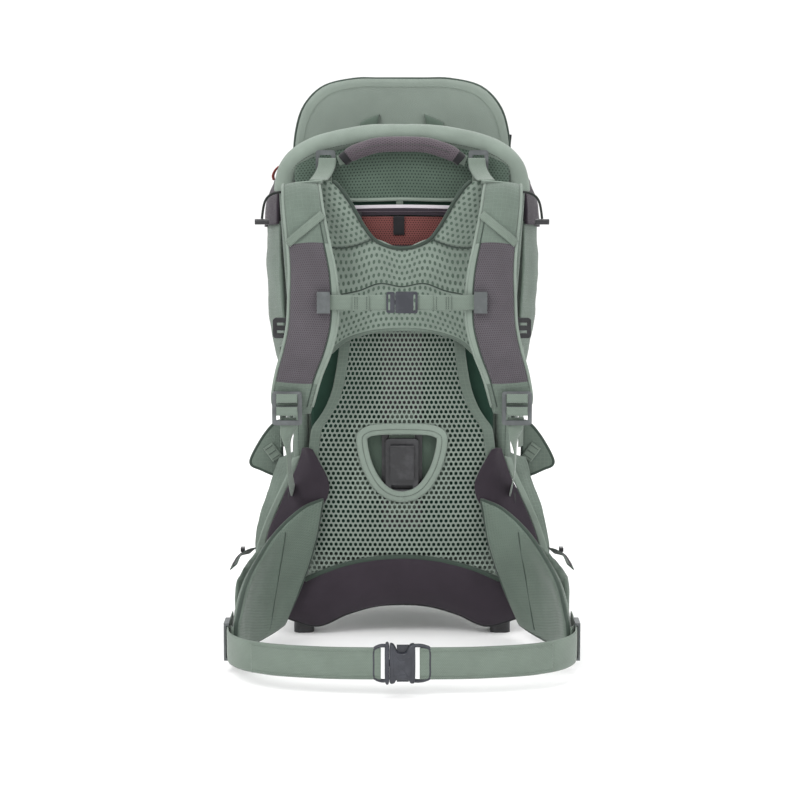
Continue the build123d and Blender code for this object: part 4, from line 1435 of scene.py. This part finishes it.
# ------------------------------------------------------------------ stirrups and small things
def stirrups():
    for name, side in SIDES.items():
        outline = [(-157, 268), (-166, 269), (-181, 252), (-196, 226), (-198, 214), (-186, 208), (-166, 200),
                   (-158, 206), (-158, 236)]
        if side > 0:
            outline = [(-x, z) for x, z in outline]
        pillow(f"stirrup_wing_{name}", outline, 60, 6, "sage_cloth", f"stirrup_{name}", 0.6,
               90, 8, replaces=[f"stirrup_{name}"])
        loop = loop_line([(x, 60, z) for x, z in outline], 90)
        line_tube(f"stirrup_edge_{name}", loop, 2.3, 3.0, 8, "piping", f"stirrup_{name}",
                  closed=True)
        tab = flip([(-163, 55.2, 222), (-176, 55.0, 240)], side)
        band(f"stirrup_tab_{name}", tab, 15, (0.81, 0, 0.58 * -side), 1.8, "webbing", f"stirrup_{name}",
             nv=14)
        lines = []
        for t in (0.15, 0.5, 0.85):
            p = tab[0].lerp(tab[1], t)
            cross = Vector((0.81, 0, 0.58 * -side)) * 6
            lines.append([p - cross + Vector((0, -1.1, 0)), p + Vector((0, -1.1, 0)),
                          p + cross + Vector((0, -1.1, 0))])
        stitches(f"stirrup_tacks_{name}", lines, "dark_thread", f"stirrup_{name}", 1.5, 1.4, 0.45)
        strap = flip([(-155, 47, 372), (-155.3, 47, 320), (-155.2, 47, 280), (-155, 47, 240)], side)
        piece = band(f"stirrup_webbing_{name}", strap, 15, (0.5, 1.0, 0), 1.6, "webbing", "frame",
                     nv=60)
        if side < 0:
            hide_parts("stirrup_straps")


ELASTIC_ROUTE = [
    (-153.5, 24, 572), (-164, 22, 571), (-173, 21, 564), (-177, 22, 552), (-178.5, 23, 538),
]


def elastic_cords():
    for name, side in SIDES.items():
        curve = bpy.data.curves.new(f"elastic_loop_{name}", "CURVE")
        curve.dimensions = "3D"
        spline = curve.splines.new("NURBS")
        route = flip(ELASTIC_ROUTE, side)
        spline.points.add(len(route) - 1)
        for point, spot in zip(spline.points, route):
            point.co = (*place(*spot), 1.0)
        spline.order_u = 3
        spline.use_endpoint_u = True
        spline.resolution_u = 16
        curve.bevel_depth = 0.0016
        curve.bevel_resolution = 4
        curve.use_fill_caps = True
        curve.materials.append(MATS["cord"])
        obj = bpy.data.objects.new(f"elastic_loop_{name}", curve)
        bpy.context.scene.collection.objects.link(obj)
        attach(obj, "frame")
        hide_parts(f"elastic_cord_{name}")


def tags():
    rows = [[(134, 196.5, 612), (146, 194, 610)], [(137, 195.5, 646), (149, 193, 644)]]
    slab("plain_side_tag", net(rows, 6, 10), 1.0, "black_cloth", "frame")
    band("red_tab", [(-158, 57, 604), (-163, 56, 599), (-166, 56, 592), (-165, 57, 586)], 7, (0.4, 1, 0), 1.4,
         "red_cloth", "frame", nv=14)


# ------------------------------------------------------------------ finishes of the CAD nodes that show
NODE_MATERIALS = {
    "main_frame": "tube_metal", "cross_stays": "tube_metal", "rear_stay": "tube_metal",
    "kickstand_tube": "tube_metal", "hinge_pins": "steel", "frame_feet": "black_plastic",
    "hinge_brackets": "black_plastic", "torso_plate": "black_plastic", "torso_buckle": "black_plastic",
    "torso_lever": "black_plastic", "side_buckles": "black_plastic", "child_harness_buckle": "black_plastic",
    "cord_toggles": "black_plastic", "hip_zip_pull_left": "black_plastic",
    "hip_zip_pull_right": "black_plastic", "reservoir_zip_pull": "black_plastic",
    "kickstand_feet": "rubber", "load_lifter_buckles": "grey_plastic", "shoulder_buckle_left": "grey_plastic",
    "shoulder_buckle_right": "grey_plastic", "sternum_clips": "grey_plastic", "hip_sliders": "grey_plastic",
    "hip_buckle_socket": "slate", "hip_buckle_plug": "slate", "hip_prong_upper": "slate",
    "hip_prong_lower": "slate", "sternum_buckle_socket": "slate", "sternum_buckle_plug": "slate",
    "sternum_prong_upper": "slate", "sternum_prong_lower": "slate",
}


def finish_nodes():
    for name, material in NODE_MATERIALS.items():
        obj = bpy.data.objects[name]
        for slot in obj.material_slots:
            slot.material = MATS[material]
        if not obj.material_slots:
            obj.data.materials.append(MATS[material])


# ------------------------------------------------------------------ stage, lights, camera
def stage():
    mesh = bpy.data.meshes.new("floor")
    size, depth = 6.0, 5.0
    profile = [(-4.0, 0.0), (depth - 1.6, 0.0)]
    profile += [(depth - 1.6 + 1.6 * math.sin(a), 1.6 - 1.6 * math.cos(a)) for a in
                [math.pi / 2 * k / 16 for k in range(1, 17)]]
    profile.append((depth, 6.0))
    verts = [(x, y, z) for y, z in profile for x in (-size, size)]
    faces = [(2 * k, 2 * k + 1, 2 * k + 3, 2 * k + 2) for k in range(len(profile) - 1)]
    mesh.from_pydata(verts, [], faces)
    mesh.polygons.foreach_set("use_smooth", [True] * len(mesh.polygons))
    obj = bpy.data.objects.new("floor", mesh)
    bpy.context.scene.collection.objects.link(obj)
    n = Nodes("floor_finish")
    vector, _ = n.coords(False)
    shade = n.mix(n.noise(vector, 3.0), (0.93, 0.93, 0.93), (0.95, 0.95, 0.95))
    mesh.materials.append(n.finish(shade, 0.7, specular=0.2))

    bpy.context.scene.view_settings.view_transform = "Standard"
    world = bpy.data.worlds.new("studio")
    world.use_nodes = True
    world.node_tree.nodes["Background"].inputs[0].default_value = (1.0, 1.0, 1.0, 1.0)
    world.node_tree.nodes["Background"].inputs[1].default_value = 1.0
    bpy.context.scene.world = world
    lights = [
        ("key", (-1.4, -2.0, 2.6), 1.3, 46.0), ("fill", (1.9, -1.8, 1.5), 2.0, 14.0),
        ("top", (0.1, 0.2, 3.0), 2.2, 30.0), ("back", (0.4, 2.4, 2.2), 1.8, 18.0),
    ]
    for name, spot, width, power in lights:
        lamp = bpy.data.lights.new(name, "AREA")
        lamp.size = width
        lamp.energy = power
        obj = bpy.data.objects.new(name, lamp)
        obj.location = spot
        aim = Vector((0, 0.02, 0.34)) - Vector(spot)
        obj.rotation_euler = aim.to_track_quat("-Z", "Y").to_euler()
        bpy.context.scene.collection.objects.link(obj)


CAMERA_TARGET = (0, 60, 350)
CAMERA_DISTANCE = 2450
CAMERA_ELEVATION = math.radians(7)


def camera():
    data = bpy.data.cameras.new("camera")
    data.lens = 84.4
    data.sensor_width = 36
    data.shift_x = -0.0025
    data.shift_y = -0.048
    obj = bpy.data.objects.new("camera", data)
    x, y, z = CAMERA_TARGET
    obj.location = place(x, y - CAMERA_DISTANCE * math.cos(CAMERA_ELEVATION),
                         z + CAMERA_DISTANCE * math.sin(CAMERA_ELEVATION))
    obj.rotation_euler = (math.pi / 2 - CAMERA_ELEVATION, 0, 0)
    bpy.context.scene.collection.objects.link(obj)
    bpy.context.scene.camera = obj


camera()
elastic_cords()
rim_and_panel()
handle()
rear_panel()
rear_details()
cockpit_sides()
child_seat_and_harness()
suspended_mesh()
behind_opening()
back_wall()
lumbar()
yoke()
neck_opening()
shoulder_pads()
load_and_lower_straps()
chest_strap()
hip_belt()
hip_buckle()
hip_sides()
lower_bag()
bag_details()
stirrups()
tags()
finish_nodes()
stage()
